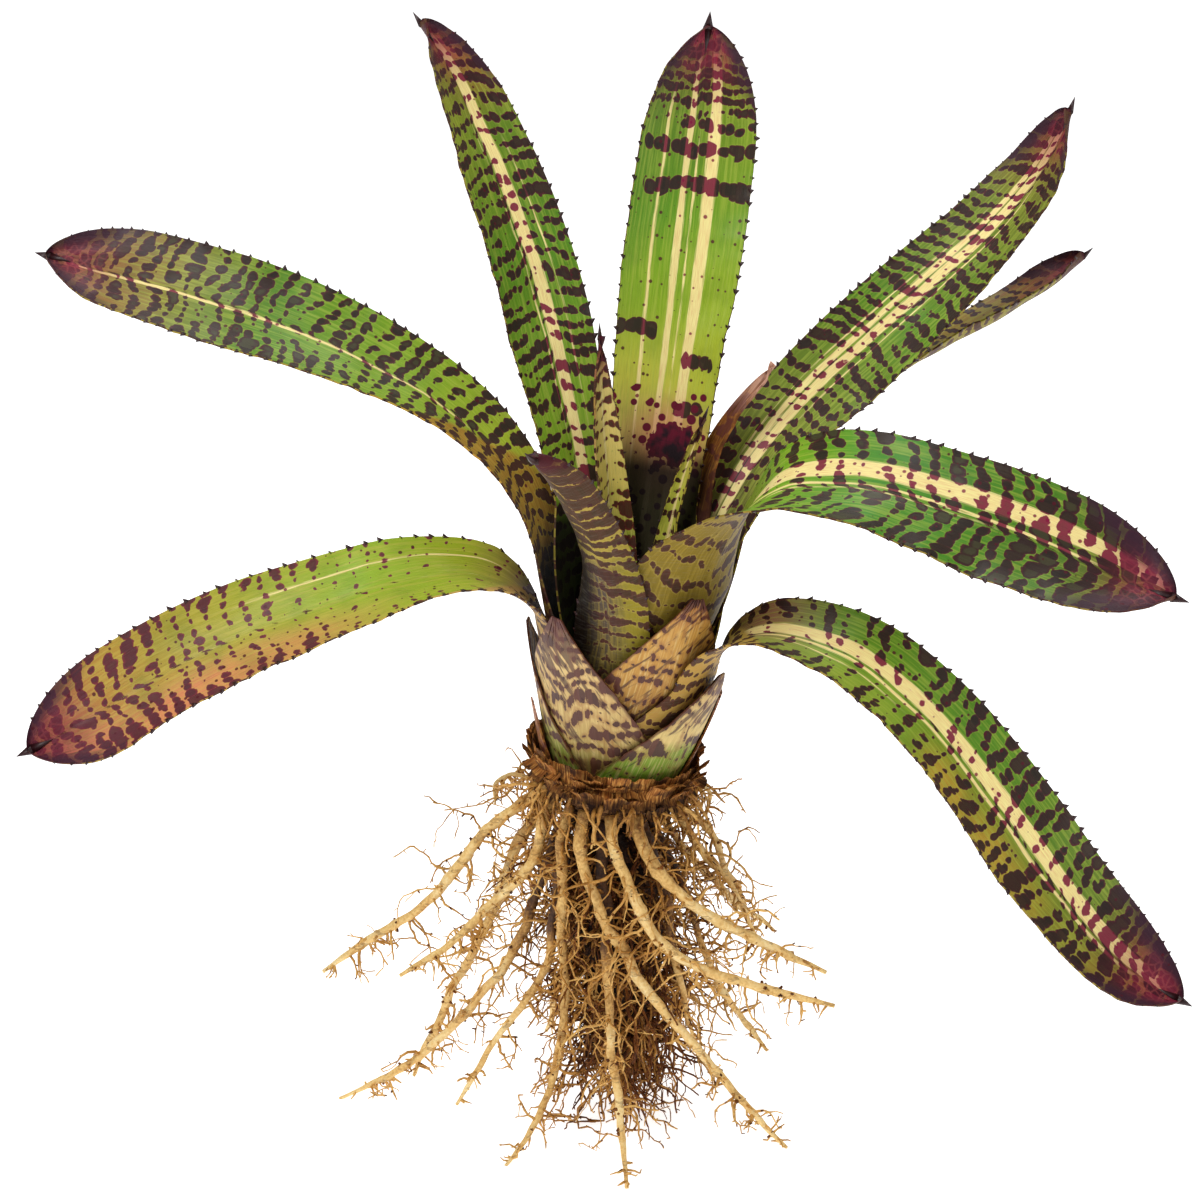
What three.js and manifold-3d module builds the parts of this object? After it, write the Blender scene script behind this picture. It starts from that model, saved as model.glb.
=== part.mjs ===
// A bare-root neoregelia: a rosette of spined strap leaves on a short stem, standing on its splayed roots.
// Millimetres, +Z up. The rosette has its own frame: origin at the root crown, +Z up the stem.

import * as THREE from 'three';
import { mergeVertices } from 'three/addons/utils/BufferGeometryUtils.js';
import Module from 'manifold-3d';

// ---- driving dimensions (millimetres, degrees) ----
const CROWN_HEIGHT = 140; // root crown above the ground
const LEAN = 6.7; // the rosette leans this far towards +X
const BUNDLE_RADIUS = 26.5; // outermost sheath at the crown
const BUNDLE_SLOPE = 0.28; // outward growth of every sheath with height
const SHEATH_PITCH = 1.3; // from one sheath to the next
const OUTER_LEVEL = 16; // sheaths are counted outwards from level 0
const BLADE_THICKNESS = 0.7;
const SHEATH_STEP = 1.625; // height between one sheath's foot and the next
const FRAME_BLEND = 25; // length over which a section tips from level to square with the blade
const CHANNEL_BLEND = 40; // length over which the clasping arc opens to the blade's channel
const NECK_SHARE = 0.8; // a grown blade's width at its neck, as a share of its full width
const BLADE_COLUMNS = 4;
const LEAF_GRID = { blade: 13, sheath: 4, columns: 12 }; // rows of the blade and the sheath, columns round it
const SMALL_GRID = { blade: 5, sheath: 3, columns: 8 };
const WIDE_SHEATH_GRID = { sheath: 6, columns: 12 };
const BRACT_GRID = { sheath: 3, columns: 6 };
const SPINE_HEIGHT = 1.5;
const SPINE_HALF_BASE = 0.9;
const TIP_LENGTH = 5; // the sharp point at a leaf's end
const TORN_HALF_ANGLE = 0.06; // radians, at the top of a sheath that has lost its blade
const ROOT_SIDES = 5;
const ROOTLET_SIDES = 3;
const SIDE_ROOTLET_RADIUS = 0.75;
const FINE_ROOTLET_RADIUS = 0.6;
const FINE_ROOTLETS = 46;
const ROOT_CLEARANCE = 0.8; // between any two roots
const CLEARANCE_SAMPLES = 12; // places tried along each step of a rootlet
const FIT_GAP = 0.3;

const GREEN = 0x6f9a2c;
const OLD_SHEATH = 0xcfae74;
const DRY_BRACT = 0xa3702c;
const PAPER = 0x6b4526;
const STEM = 0x8a7040;
const ROOT = 0xc79d5a;
const FINE_ROOT = 0x6a4a22;

// Every grown leaf. az: where its sheath clasps the stem; head: where its blade points; elev and roll: the
// blade's rise above the horizon and its twist, at even steps from neck to tip; hold: the half angle that the
// sheath wraps at its foot; fold: the half angle of the blade's channel.
const LEAVES = [
  { name: 'leaf_a', level: 7, az: 165, head: 165, neck: 82, length: 221, width: 40, hold: 100, fold: 28,
    elev: [73, 40, 20, 13, 7, 4, 4], roll: [0, -23, -45, -31] },
  { name: 'leaf_b', level: 10, az: 192, head: 189, neck: 60, length: 202, width: 39.5, hold: 100, fold: 28,
    elev: [60, -3, -24, -24, -32, -39, -30], roll: [0, -31, -44, -50] },
  { name: 'leaf_c', level: 3, az: 128, head: 148, neck: 95, length: 184, width: 38, hold: 95, fold: 28,
    elev: [61, 62, 65, 60, 56, 54, 39], roll: [0, -29, -15, 10] },
  { name: 'leaf_d', level: 1, az: 85, head: 90, neck: 95, length: 173, width: 45, hold: 95, fold: 28,
    elev: [80, 79, 76, 75, 76, 78, 81], roll: [0, -12, 10, 24] },
  { name: 'leaf_e', level: 5, az: 40, head: 36, neck: 92, length: 212, width: 40, hold: 100, fold: 28,
    elev: [65, 46, 36, 36, 37, 49, 78], roll: [0, 37, 10, -22] },
  { name: 'leaf_f', level: 8, az: 50, head: 30, neck: 78, length: 200, width: 33, hold: 95, fold: 35,
    elev: [57, 41, 31, 24, 22, 28, 40], roll: [0, 4, -22, -15] },
  { name: 'leaf_g', level: 4, az: -45, head: -15, neck: 80, length: 196, width: 43, hold: 100, fold: 28,
    neckShare: 1.5, elev: [88, 60, 16, -6, -9, -14, -7], roll: [0, 18, 55, 33] },
  { name: 'leaf_h', level: 11, az: -32, head: -6, neck: 45, length: 244, width: 40, hold: 100, fold: 28,
    elev: [84, 8, -31, -46, -48, -43, -19], roll: [0, 34, 51, 29] },
  { name: 'leaf_i', level: 6, az: -106, head: -132, neck: 60, length: 101, width: 23, hold: 95, fold: 62,
    neckShare: 1.25, elev: [70, 62, 54, 46, 34], roll: [0, 15, 5] },
];

// Small leaves inside the cup, nearly upright, narrowing all the way; taper: the power that they narrow by.
const INNER_LEAVES = [
  { name: 'inner_leaf_j', level: 0, az: 115, head: 172, neck: 62, length: 96, width: 24, hold: 28, fold: 40,
    taper: 0.75, elev: [84, 81, 79, 82], roll: [0, -28, -55, -60] },
  { name: 'inner_leaf_k', level: 0, az: 66, head: 12, neck: 62, length: 70, width: 12, hold: 14, fold: 50,
    taper: 0.7, elev: [88, 86, 80, 76], roll: [0, 30, 52, 54] },
  { name: 'bract_l', level: 2, az: 56, head: 16, neck: 92, length: 64, width: 14, hold: 85, fold: 40,
    taper: 0.7, elev: [82, 74, 61, 51], roll: [0, 20, 35] },
];

// Sheaths whose blades are gone, dry bracts, all lying on the bundle. top: height of the torn point.
const SHEATHS = [
  { name: 'sheath_n', level: 9, az: -61, top: 83, hold: 100, colour: OLD_SHEATH },
  { name: 'sheath_m', level: 12, az: -134, top: 68, hold: 96, colour: OLD_SHEATH },
  { name: 'sheath_r', level: 13, az: 172, top: 54, hold: 74, colour: OLD_SHEATH },
  { name: 'sheath_p', level: 14, az: -30, top: 50, hold: 92, colour: OLD_SHEATH },
  { name: 'dry_bract_q', level: 15, az: 2, top: 36, hold: 40, colour: DRY_BRACT },
  { name: 'dry_bract_s', level: 15, az: 188, top: 27, hold: 32, colour: DRY_BRACT },
];

// Thick roots. from, to: azimuth at the crown and at the end; crown: distance from the stem's axis where it
// grows out; course: (distance out, height above ground); foot: the end rests flat on the ground.
const ROOTS = [
  { from: 172, to: 172, crown: 22, thick: 2.3, course: [[46, 115], [67, 86], [92, 66], [111, 51]] },
  { from: 158, to: 160, crown: 20, thick: 2.4, course: [[36, 109], [51, 70], [66, 38], [82, 0]], foot: true },
  { from: 198, to: 200, crown: 21, thick: 2.2, course: [[30, 110], [47, 93], [62, 82], [83, 71]] },
  { from: 178, to: 175, crown: 12, thick: 2.2, course: [[37, 66], [58, 37], [80, 15], [105, 0]], foot: true },
  { from: -152, to: -160, crown: 13, thick: 2.0, course: [[30, 62], [46, 40], [62, 14]] },
  { from: -136, to: -133, crown: 20, thick: 2.1, course: [[26, 88], [27, 40], [38, 14], [58, 0]], foot: true },
  { from: -117, to: -24, crown: 21, thick: 2.4, course: [[28, 100], [33, 70], [47, 34], [71, 0]], foot: true },
  { from: -68, to: -14, crown: 22, thick: 2.6, course: [[33, 112], [40, 98], [58, 82], [81, 68]] },
  { from: -90, to: -28, crown: 21, thick: 2.4, course: [[31, 108], [40, 84], [62, 72], [91, 66]] },
  { from: -44, to: -40, crown: 16, thick: 1.8, course: [[25, 104], [30, 76], [36, 48]] },
  { from: 22, to: 22, crown: 21, thick: 1.9, course: [[37, 112], [46, 94], [59, 63]] },
  { from: -100, to: -85, crown: 12, thick: 2.3, course: [[20, 98], [30, 66], [46, 24], [59, 0]], foot: true },
  { from: 140, to: 150, crown: 22, thick: 1.2, course: [[34, 128], [49, 127], [51, 116]] },
  { from: 44, to: 34, crown: 21, thick: 1.2, course: [[33, 124], [44, 124], [42, 113]] },
  { from: 0, to: 5, crown: 21, thick: 1.7, course: [[32, 110], [40, 99], [48, 86]] },
  { from: 60, to: 60, crown: 18, thick: 2.3, course: [[32, 100], [44, 62], [56, 26], [66, 0]], foot: true },
  { from: 88, to: 86, crown: 19, thick: 2.1, course: [[30, 98], [44, 62], [60, 30], [74, 12]] },
  { from: 114, to: 112, crown: 18, thick: 2.3, course: [[28, 98], [40, 60], [56, 26], [70, 0]], foot: true },
  { from: 134, to: 136, crown: 20, thick: 1.9, course: [[34, 108], [50, 82], [70, 58]] },
  { from: 40, to: 38, crown: 18, thick: 2.0, course: [[34, 100], [56, 74], [80, 52]] },
  { from: 8, to: 10, crown: 14, thick: 1.9, course: [[27, 90], [38, 58], [50, 34], [60, 20]] },
].map((root, k) => ({ name: `root_${String(k + 1).padStart(2, '0')}`, ...root }));

const rad = THREE.MathUtils.degToRad;
const wasm = await Module();
wasm.setup();
const model = new THREE.Group();
const rosette = new THREE.Group();
rosette.position.z = CROWN_HEIGHT;
rosette.rotation.y = rad(LEAN);
model.add(rosette);

// ---- small tools ----
function seeded(seed) {
  let state = seed;
  return (low, high) => {
    state = (state * 1664525 + 1013904223) % 4294967296;
    return low + (high - low) * state / 4294967296;
  };
}

function smooth(x) {
  const t = THREE.MathUtils.clamp(x, 0, 1);
  return t * t * (3 - 2 * t);
}

// The value at t from 0 to 1 of a list of values at even steps.
function along(values, t) {
  const at = THREE.MathUtils.clamp(t, 0, 1) * (values.length - 1);
  const i = Math.min(Math.floor(at), values.length - 2);
  return THREE.MathUtils.lerp(values[i], values[i + 1], at - i);
}

function geometryOf(points, triangles) {
  const geometry = new THREE.BufferGeometry();
  const flat = points.flatMap((p) => [p.x, p.y, p.z]);
  geometry.setAttribute('position', new THREE.Float32BufferAttribute(flat, 3));
  geometry.setIndex(triangles.flat());
  return geometry;
}

function addPiece(group, name, geometry, colour, roughness = 0.5) {
  const material = new THREE.MeshStandardMaterial({ color: colour, roughness, metalness: 0 });
  const mesh = new THREE.Mesh(geometry, material);
  mesh.name = name;
  group.add(mesh);
}

function toSolid(geometry) {
  geometry.deleteAttribute('normal');
  geometry.deleteAttribute('uv');
  const merged = mergeVertices(geometry, 1e-4);
  const vertProperties = new Float32Array(merged.attributes.position.array);
  const triVerts = new Uint32Array(merged.index.array);
  return new wasm.Manifold(new wasm.Mesh({ numProp: 3, vertProperties, triVerts }));
}

function fromSolid(solid) {
  const mesh = solid.getMesh();
  const geometry = new THREE.BufferGeometry();
  geometry.setAttribute('position', new THREE.BufferAttribute(mesh.vertProperties, 3));
  geometry.setIndex(new THREE.BufferAttribute(mesh.triVerts, 1));
  return geometry;
}

// A thin sheet grows from a middle surface: points with normals on its upper face, and rows of points that
// are stitched into triangles. An edge listed as a thorn runs out to a point in place of a plain wall.
class Sheet {
  constructor() {
    this.points = [];
    this.normals = [];
    this.triangles = [];
    this.thorns = [];
  }

  add(point, normal) {
    this.points.push(point);
    this.normals.push(normal);
    return this.points.length - 1;
  }

  // Joins two rows of {id, key}, both sorted by key; the second row lies further along the leaf.
  stitch(near, far) {
    let i = 0;
    let j = 0;
    while (i < near.length - 1 || j < far.length - 1) {
      const nearNext = i < near.length - 1 && (j === far.length - 1 || near[i + 1].key <= far[j + 1].key);
      if (nearNext) {
        this.triangles.push([near[i + 1].id, near[i].id, far[j].id]);
        i += 1;
      } else {
        this.triangles.push([far[j].id, far[j + 1].id, near[i].id]);
        j += 1;
      }
    }
  }

  // The closed solid: upper face, lower face, and a wall or thorn along every free edge.
  solid(thickness) {
    const count = this.points.length;
    const shifted = (by) => this.points.map((p, i) => p.clone().addScaledVector(this.normals[i], by));
    const points = [...shifted(thickness / 2), ...shifted(-thickness / 2)];
    const triangles = [];
    const edges = new Map();
    for (const [a, b, c] of this.triangles) {
      triangles.push([a, b, c], [c + count, b + count, a + count]);
      for (const [from, to] of [[a, b], [b, c], [c, a]]) {
        if (!edges.delete(`${to} ${from}`)) {
          edges.set(`${from} ${to}`, [from, to]);
        }
      }
    }
    for (const [from, to] of edges.values()) {
      const ring = [to, from, from + count, to + count];
      const thorn = this.thorns.find((t) => (t.a === from && t.b === to) || (t.a === to && t.b === from));
      if (thorn) {
        const apex = points.push(thorn.apex) - 1;
        ring.forEach((id, k) => triangles.push([id, ring[(k + 1) % 4], apex]));
      } else {
        triangles.push([ring[0], ring[1], ring[2]], [ring[0], ring[2], ring[3]]);
      }
    }
    return geometryOf(points, triangles);
  }
}

// ---- leaves ----
function sheathRadius(level, z) {
  return BUNDLE_RADIUS + BUNDLE_SLOPE * z - (OUTER_LEVEL - level) * SHEATH_PITCH;
}

function sheathFoot(level) {
  return (OUTER_LEVEL - level) * SHEATH_STEP;
}

// Half the blade's width at t, from 0 at the neck to 1 at the tip: it swells slowly, then rounds off. A small
// leaf narrows all the way.
function halfWidth(leaf, t) {
  if (leaf.taper) {
    return leaf.width / 2 * Math.pow(1 - t, leaf.taper);
  }
  const neckShare = leaf.neckShare ?? NECK_SHARE;
  const swell = neckShare + (1 - neckShare) * smooth(t / 0.6);
  const roundFrom = 1 - leaf.width / leaf.length;
  const x = THREE.MathUtils.clamp((t - roundFrom) / (1 - roundFrom), 0, 1);
  return leaf.width / 2 * swell * Math.pow(1 - Math.pow(x, 2.2), 0.6);
}

// A point of the middle surface of a sheath at a height and an azimuth offset, with its upper normal.
function onSheath(leaf, z, offset) {
  const angle = rad(leaf.az) + offset;
  const r = sheathRadius(leaf.level, z);
  const point = new THREE.Vector3(r * Math.cos(angle), r * Math.sin(angle), z);
  return { point, normal: new THREE.Vector3(-Math.cos(angle), -Math.sin(angle), 0) };
}

// The blade's course in steps of one millimetre: place, heading, rise.
function courseOf(leaf) {
  const steps = Math.round(leaf.length);
  const step = leaf.length / steps;
  const places = [onSheath(leaf, leaf.neck, 0).point];
  const heading = (t) => rad(leaf.az + (leaf.head - leaf.az) * smooth(t / 0.5));
  for (let i = 0; i < steps; i += 1) {
    const t = (i + 0.5) / steps;
    const rise = rad(along(leaf.elev, t));
    const turn = heading(t);
    const out = Math.cos(rise);
    const way = new THREE.Vector3(out * Math.cos(turn), out * Math.sin(turn), Math.sin(rise));
    places.push(places[i].clone().addScaledVector(way, step));
  }
  return { places, heading };
}

// A point of the blade's middle surface at t along it and u from -1 to 1 across it.
function onBlade(leaf, course, t, u) {
  const at = t * (course.places.length - 1);
  const i = Math.min(Math.floor(at), course.places.length - 2);
  const spine = course.places[i].clone().lerp(course.places[i + 1], at - i);
  const s = t * leaf.length;
  const turn = course.heading(t);
  const rise = rad(90 + (along(leaf.elev, t) - 90) * smooth(s / FRAME_BLEND));
  const twist = rad(along(leaf.roll, t));
  const level = new THREE.Vector3(-Math.sin(turn), Math.cos(turn), 0);
  const back = -Math.sin(rise);
  const upper = new THREE.Vector3(back * Math.cos(turn), back * Math.sin(turn), Math.cos(rise));
  const side = level.clone().multiplyScalar(Math.cos(twist)).addScaledVector(upper, Math.sin(twist));
  const face = level.clone().multiplyScalar(-Math.sin(twist)).addScaledVector(upper, Math.cos(twist));
  const neckFold = halfWidth(leaf, 0) / sheathRadius(leaf.level, leaf.neck);
  const fold = neckFold + (rad(leaf.fold) - neckFold) * smooth(s / CHANNEL_BLEND);
  const bend = halfWidth(leaf, t) / fold;
  const point = spine.addScaledVector(side, bend * Math.sin(u * fold));
  point.addScaledVector(face, bend * (1 - Math.cos(u * fold)));
  const normal = face.clone().multiplyScalar(Math.cos(u * fold)).addScaledVector(side, -Math.sin(u * fold));
  return { point, normal };
}

// Rows of a sheath from its foot up to `top`, where it still spans `topAngle` each way.
function sheathRows(sheet, leaf, top, topAngle, grid) {
  const foot = sheathFoot(leaf.level);
  const rows = [];
  for (let i = 0; i <= grid.sheath; i += 1) {
    const q = i / grid.sheath;
    const z = THREE.MathUtils.lerp(foot, top, q);
    const half = topAngle + (rad(leaf.hold) - topAngle) * Math.pow(1 - q, 1.15);
    const row = [];
    for (let c = 0; c <= grid.columns; c += 1) {
      const offset = half * (2 * c / grid.columns - 1);
      const place = onSheath(leaf, z, offset);
      row.push({ id: sheet.add(place.point, place.normal), key: offset });
    }
    rows.push(row);
  }
  rows.slice(1).forEach((row, i) => sheet.stitch(rows[i], row));
  return rows;
}

// One leaf: clasping sheath, channelled blade with a spine on each margin between rows, then the tip.
function leafGeometry(leaf, grid) {
  const sheet = new Sheet();
  const neckAngle = halfWidth(leaf, 0) / sheathRadius(leaf.level, leaf.neck);
  const sheath = sheathRows(sheet, leaf, leaf.neck, neckAngle, grid);
  const course = courseOf(leaf);
  const lastFull = 1 - 2.2 / leaf.length;
  const put = (t, u) => {
    const place = onBlade(leaf, course, t, u);
    return { id: sheet.add(place.point, place.normal), t, key: u * halfWidth(leaf, t) };
  };
  const lines = [];
  for (let c = 0; c <= BLADE_COLUMNS; c += 1) {
    const line = [];
    for (let i = 1; i <= grid.blade; i += 1) {
      line.push(put(lastFull * Math.pow(i / grid.blade, 0.96), 2 * c / BLADE_COLUMNS - 1));
    }
    lines.push(line);
  }
  const neckRow = sheath.at(-1).map((v) => ({ id: v.id, key: v.key * sheathRadius(leaf.level, leaf.neck) }));
  sheet.stitch(neckRow, lines.map((line) => line[0]));
  // thorns: two more points on each margin between rows, and a point that stands out from them
  const spined = (line, u) => {
    const out = [line[0]];
    for (let i = 1; i < line.length; i += 1) {
      const middle = (line[i - 1].t + line[i].t) / 2;
      const base = [-1, 1].map((k) => put(middle + k * SPINE_HALF_BASE / leaf.length, u));
      const root = onBlade(leaf, course, middle + 0.6 / leaf.length, u).point;
      const inward = onBlade(leaf, course, middle, u * 0.8).point;
      const apex = root.clone().addScaledVector(root.clone().sub(inward).normalize(), SPINE_HEIGHT);
      sheet.thorns.push({ a: base[0].id, b: base[1].id, apex });
      out.push(...base, line[i]);
    }
    return out;
  };
  const strips = [spined(lines[0], -1), ...lines.slice(1, -1), spined(lines.at(-1), 1)];
  strips.slice(1).forEach((line, c) => stitchStrip(sheet, strips[c], line));
  // the tip: a short narrow edge that runs out to the sharp point
  const endRow = [put(1 - 0.6 / leaf.length, -1), put(1 - 0.6 / leaf.length, 1)];
  sheet.stitch(lines.map((line) => line.at(-1)), endRow);
  const end = course.places.at(-1);
  const before = course.places.at(-6);
  const apex = end.clone().addScaledVector(end.clone().sub(before).normalize(), TIP_LENGTH);
  sheet.thorns.push({ a: endRow[0].id, b: endRow[1].id, apex });
  return sheet.solid(BLADE_THICKNESS);
}

// Joins two lines of points that run along the blade; the second lies further across.
function stitchStrip(sheet, near, far) {
  let i = 0;
  let j = 0;
  while (i < near.length - 1 || j < far.length - 1) {
    const nearNext = i < near.length - 1 && (j === far.length - 1 || near[i + 1].t <= far[j + 1].t);
    if (nearNext) {
      sheet.triangles.push([near[i].id, near[i + 1].id, far[j].id]);
      i += 1;
    } else {
      sheet.triangles.push([far[j + 1].id, far[j].id, near[i].id]);
      j += 1;
    }
  }
}

// A sheath with no blade narrows to a torn point.
function bareSheathGeometry(leaf, grid) {
  const sheet = new Sheet();
  sheathRows(sheet, leaf, leaf.top, TORN_HALF_ANGLE, grid);
  return sheet.solid(BLADE_THICKNESS);
}

for (const leaf of LEAVES) {
  addPiece(rosette, leaf.name, leafGeometry(leaf, LEAF_GRID), GREEN);
}
for (const leaf of INNER_LEAVES) {
  addPiece(rosette, leaf.name, leafGeometry(leaf, SMALL_GRID), GREEN);
}
for (const sheath of SHEATHS) {
  const grid = sheath.hold > 60 ? WIDE_SHEATH_GRID : BRACT_GRID;
  addPiece(rosette, sheath.name, bareSheathGeometry(sheath, grid), sheath.colour, 0.7);
}

// ---- stem: a cone that every sheath stands on, over the root crown ----
const CROWN_RIM = { r: BUNDLE_RADIUS + 0.2, z: -4 };
const CROWN_BOTTOM = { r: 8, z: -18 };
const STEM_TOP_RADIUS = sheathRadius(0, sheathFoot(0)) - BLADE_THICKNESS / 2 - FIT_GAP - 0.2;
const stemProfile = [
  [0, CROWN_BOTTOM.z],
  [CROWN_BOTTOM.r, CROWN_BOTTOM.z],
  [CROWN_RIM.r, CROWN_RIM.z],
  [CROWN_RIM.r, -0.9],
  [BUNDLE_RADIUS - 0.65, -0.5],
  [STEM_TOP_RADIUS, sheathFoot(0)],
  [5, sheathFoot(0) + 5],
  [0, sheathFoot(0) + 7],
].map(([r, z]) => new THREE.Vector2(r, z));
const stemGeometry = new THREE.LatheGeometry(stemProfile, 24);
stemGeometry.rotateX(Math.PI / 2);
addPiece(rosette, 'stem', stemGeometry, STEM, 0.8);

// ---- papery collar: a ring of dead leaf bases with torn edges, round the foot of the bundle ----
function collarGeometry() {
  const draw = seeded(5);
  const columns = 26;
  const heights = [-7.5, -3, 1.5, 9];
  const skirtFrom = -4; // below this height the ring spreads again
  const sheet = new Sheet();
  const rows = heights.map((z, k) => {
    const row = [];
    const torn = k === 0 || k === heights.length - 1;
    for (let c = 0; c < columns; c += 1) {
      const angle = 2 * Math.PI * c / columns;
      const height = torn ? z + draw(-2, 4) * Math.sign(z) : z;
      const spread = height > 0 ? BUNDLE_SLOPE * height : 0.3 * Math.max(0, skirtFrom - height);
      const r = BUNDLE_RADIUS + SHEATH_PITCH + spread;
      const point = new THREE.Vector3(r * Math.cos(angle), r * Math.sin(angle), height);
      row.push({ id: sheet.add(point, new THREE.Vector3(-Math.cos(angle), -Math.sin(angle), 0)), key: c });
    }
    row.push({ id: row[0].id, key: columns });
    return row;
  });
  rows.slice(1).forEach((row, k) => sheet.stitch(rows[k], row));
  return sheet.solid(BLADE_THICKNESS);
}
addPiece(rosette, 'papery_collar', collarGeometry(), PAPER, 0.9);

// ---- roots ----
rosette.updateMatrixWorld(true);
const taken = []; // places already filled: {point, radius, owner}

function isClear(point, radius, owner) {
  const reach = radius + ROOT_CLEARANCE;
  return taken.every((t) => t.owner === owner || t.point.distanceTo(point) > t.radius + reach);
}

// A tube through points, each with its radius and the way the tube runs there. It ends in flat caps.
function tubeGeometry(stations, sides) {
  const points = [];
  const triangles = [];
  let side = new THREE.Vector3(1, 0, 0);
  stations.forEach(({ point, radius, way }, k) => {
    if (k === 0 && Math.abs(way.x) > 0.9) {
      side = new THREE.Vector3(0, 1, 0);
    }
    side = side.clone().addScaledVector(way, -side.dot(way)).normalize();
    const other = new THREE.Vector3().crossVectors(way, side);
    for (let j = 0; j < sides; j += 1) {
      const angle = 2 * Math.PI * j / sides;
      const out = side.clone().multiplyScalar(Math.cos(angle)).addScaledVector(other, Math.sin(angle));
      points.push(point.clone().addScaledVector(out, radius));
    }
    if (k > 0) {
      for (let j = 0; j < sides; j += 1) {
        const a = (k - 1) * sides + j;
        const b = (k - 1) * sides + (j + 1) % sides;
        triangles.push([a, b, b + sides], [a, b + sides, a + sides]);
      }
    }
  });
  const last = (stations.length - 1) * sides;
  for (let j = 1; j < sides - 1; j += 1) {
    triangles.push([0, j + 1, j], [last, last + j, last + j + 1]);
  }
  return geometryOf(points, triangles);
}

// The crown's slanted underside: a place at distance r from the axis, just off it, and the way out.
function onCrown(azimuth, r) {
  const q = (CROWN_RIM.r - r) / (CROWN_RIM.r - CROWN_BOTTOM.r);
  const z = THREE.MathUtils.lerp(CROWN_RIM.z, CROWN_BOTTOM.z, q);
  const fall = new THREE.Vector2(CROWN_RIM.z - CROWN_BOTTOM.z, CROWN_BOTTOM.r - CROWN_RIM.r).normalize();
  const angle = rad(azimuth);
  const way = new THREE.Vector3(fall.x * Math.cos(angle), fall.x * Math.sin(angle), fall.y);
  const point = new THREE.Vector3(r * Math.cos(angle), r * Math.sin(angle), z).addScaledVector(way, FIT_GAP);
  return { point: rosette.localToWorld(point), way: way.transformDirection(rosette.matrixWorld) };
}

// Stations along a thick root: off the crown, then through its course, with uneven knots on the way.
function rootStations(root, draw) {
  const start = onCrown(root.from, root.crown);
  const passes = [start.point, start.point.clone().addScaledVector(start.way, 5)];
  root.course.forEach(([out, height], k) => {
    const q = (k + 1) / root.course.length;
    const angle = rad(root.from + (root.to - root.from) * smooth(q));
    passes.push(new THREE.Vector3(out * Math.cos(angle), out * Math.sin(angle), height));
  });
  const curve = new THREE.CatmullRomCurve3(passes, false, 'centripetal');
  const count = Math.max(5, Math.round(curve.getLength() / 11));
  const stations = [];
  for (let i = 0; i <= count; i += 1) {
    const q = i / count;
    const point = curve.getPointAt(q);
    const way = curve.getTangentAt(q);
    const endWobble = i === 0 || i === count ? 0 : 1;
    point.x += endWobble * draw(-0.9, 0.9);
    point.y += endWobble * draw(-0.9, 0.9);
    const knot = 1 + endWobble * draw(-0.12, 0.16);
    stations.push({ point, way, radius: root.thick * (1 - 0.42 * q) * knot });
  }
  stations[0].way = start.way;
  if (root.foot) {
    stations.at(-1).way = new THREE.Vector3(0, 0, -1);
    stations.at(-1).point.z = 0;
  }
  return stations;
}

function claim(stations, owner) {
  stations.slice(1).forEach((station, k) => {
    const before = stations[k];
    const parts = Math.ceil(before.point.distanceTo(station.point) / 1.5);
    for (let i = 0; i <= parts; i += 1) {
      const point = before.point.clone().lerp(station.point, i / parts);
      taken.push({ point, radius: THREE.MathUtils.lerp(before.radius, station.radius, i / parts), owner });
    }
  });
}

// A thin side rootlet that leaves `from` and curls away, or null where another root is in its way.
function rootletStations(from, way, length, radius, owner, draw, free) {
  const stations = [{ point: from.clone(), way: way.clone(), radius }];
  const steps = Math.max(2, Math.round(length / 6));
  let heading = way.clone();
  for (let i = 1; i <= steps; i += 1) {
    const bend = new THREE.Vector3(draw(-0.5, 0.5), draw(-0.5, 0.5), draw(-0.55, 0.25));
    heading = heading.clone().add(bend).normalize();
    const point = stations[i - 1].point.clone().addScaledVector(heading, length / steps);
    stations.push({ point, way: heading, radius: radius * (1 - 0.6 * i / steps) });
  }
  for (let i = 1; i <= steps; i += 1) {
    for (let k = 1; k <= CLEARANCE_SAMPLES; k += 1) {
      const point = stations[i - 1].point.clone().lerp(stations[i].point, k / CLEARANCE_SAMPLES);
      const outside = point.distanceTo(from) > free;
      if (outside && (point.z < 1.5 || !isClear(point, radius, owner))) {
        return null;
      }
    }
  }
  return stations;
}

const rootPaths = ROOTS.map((root, k) => ({ root, stations: rootStations(root, seeded(100 + k)) }));
rootPaths.forEach(({ root, stations }) => claim(stations, root.name));

rootPaths.forEach(({ root, stations }, k) => {
  const draw = seeded(500 + k);
  let solid = toSolid(tubeGeometry(stations, ROOT_SIDES));
  const wanted = Math.round(stations.length * 0.4);
  for (let n = 0, tries = 0; n < wanted && tries < 40; tries += 1) {
    const at = Math.floor(draw(2, stations.length - 1.01));
    const turn = draw(0, 2 * Math.PI);
    const way = new THREE.Vector3(Math.cos(turn), Math.sin(turn), draw(-0.8, 0.1)).normalize();
    const length = draw(8, 18);
    const from = stations[at].point;
    const rootlet = rootletStations(from, way, length, SIDE_ROOTLET_RADIUS, root.name, draw, 3);
    if (rootlet) {
      claim(rootlet, root.name);
      solid = solid.add(toSolid(tubeGeometry(rootlet, ROOTLET_SIDES)));
      n += 1;
    }
  }
  addPiece(model, root.name, fromSolid(solid), ROOT, 0.8);
});

// ---- fine roots: a matted core under the crown, with thin rootlets that hang and splay out of it ----
const CORE_SIDES = 12;
const CORE_MARGIN = 6; // between the core's corners and the thick roots
const CORE_HEIGHTS = [113, 104, 94, 82, 68, 52, 38, 26, 17];

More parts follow.
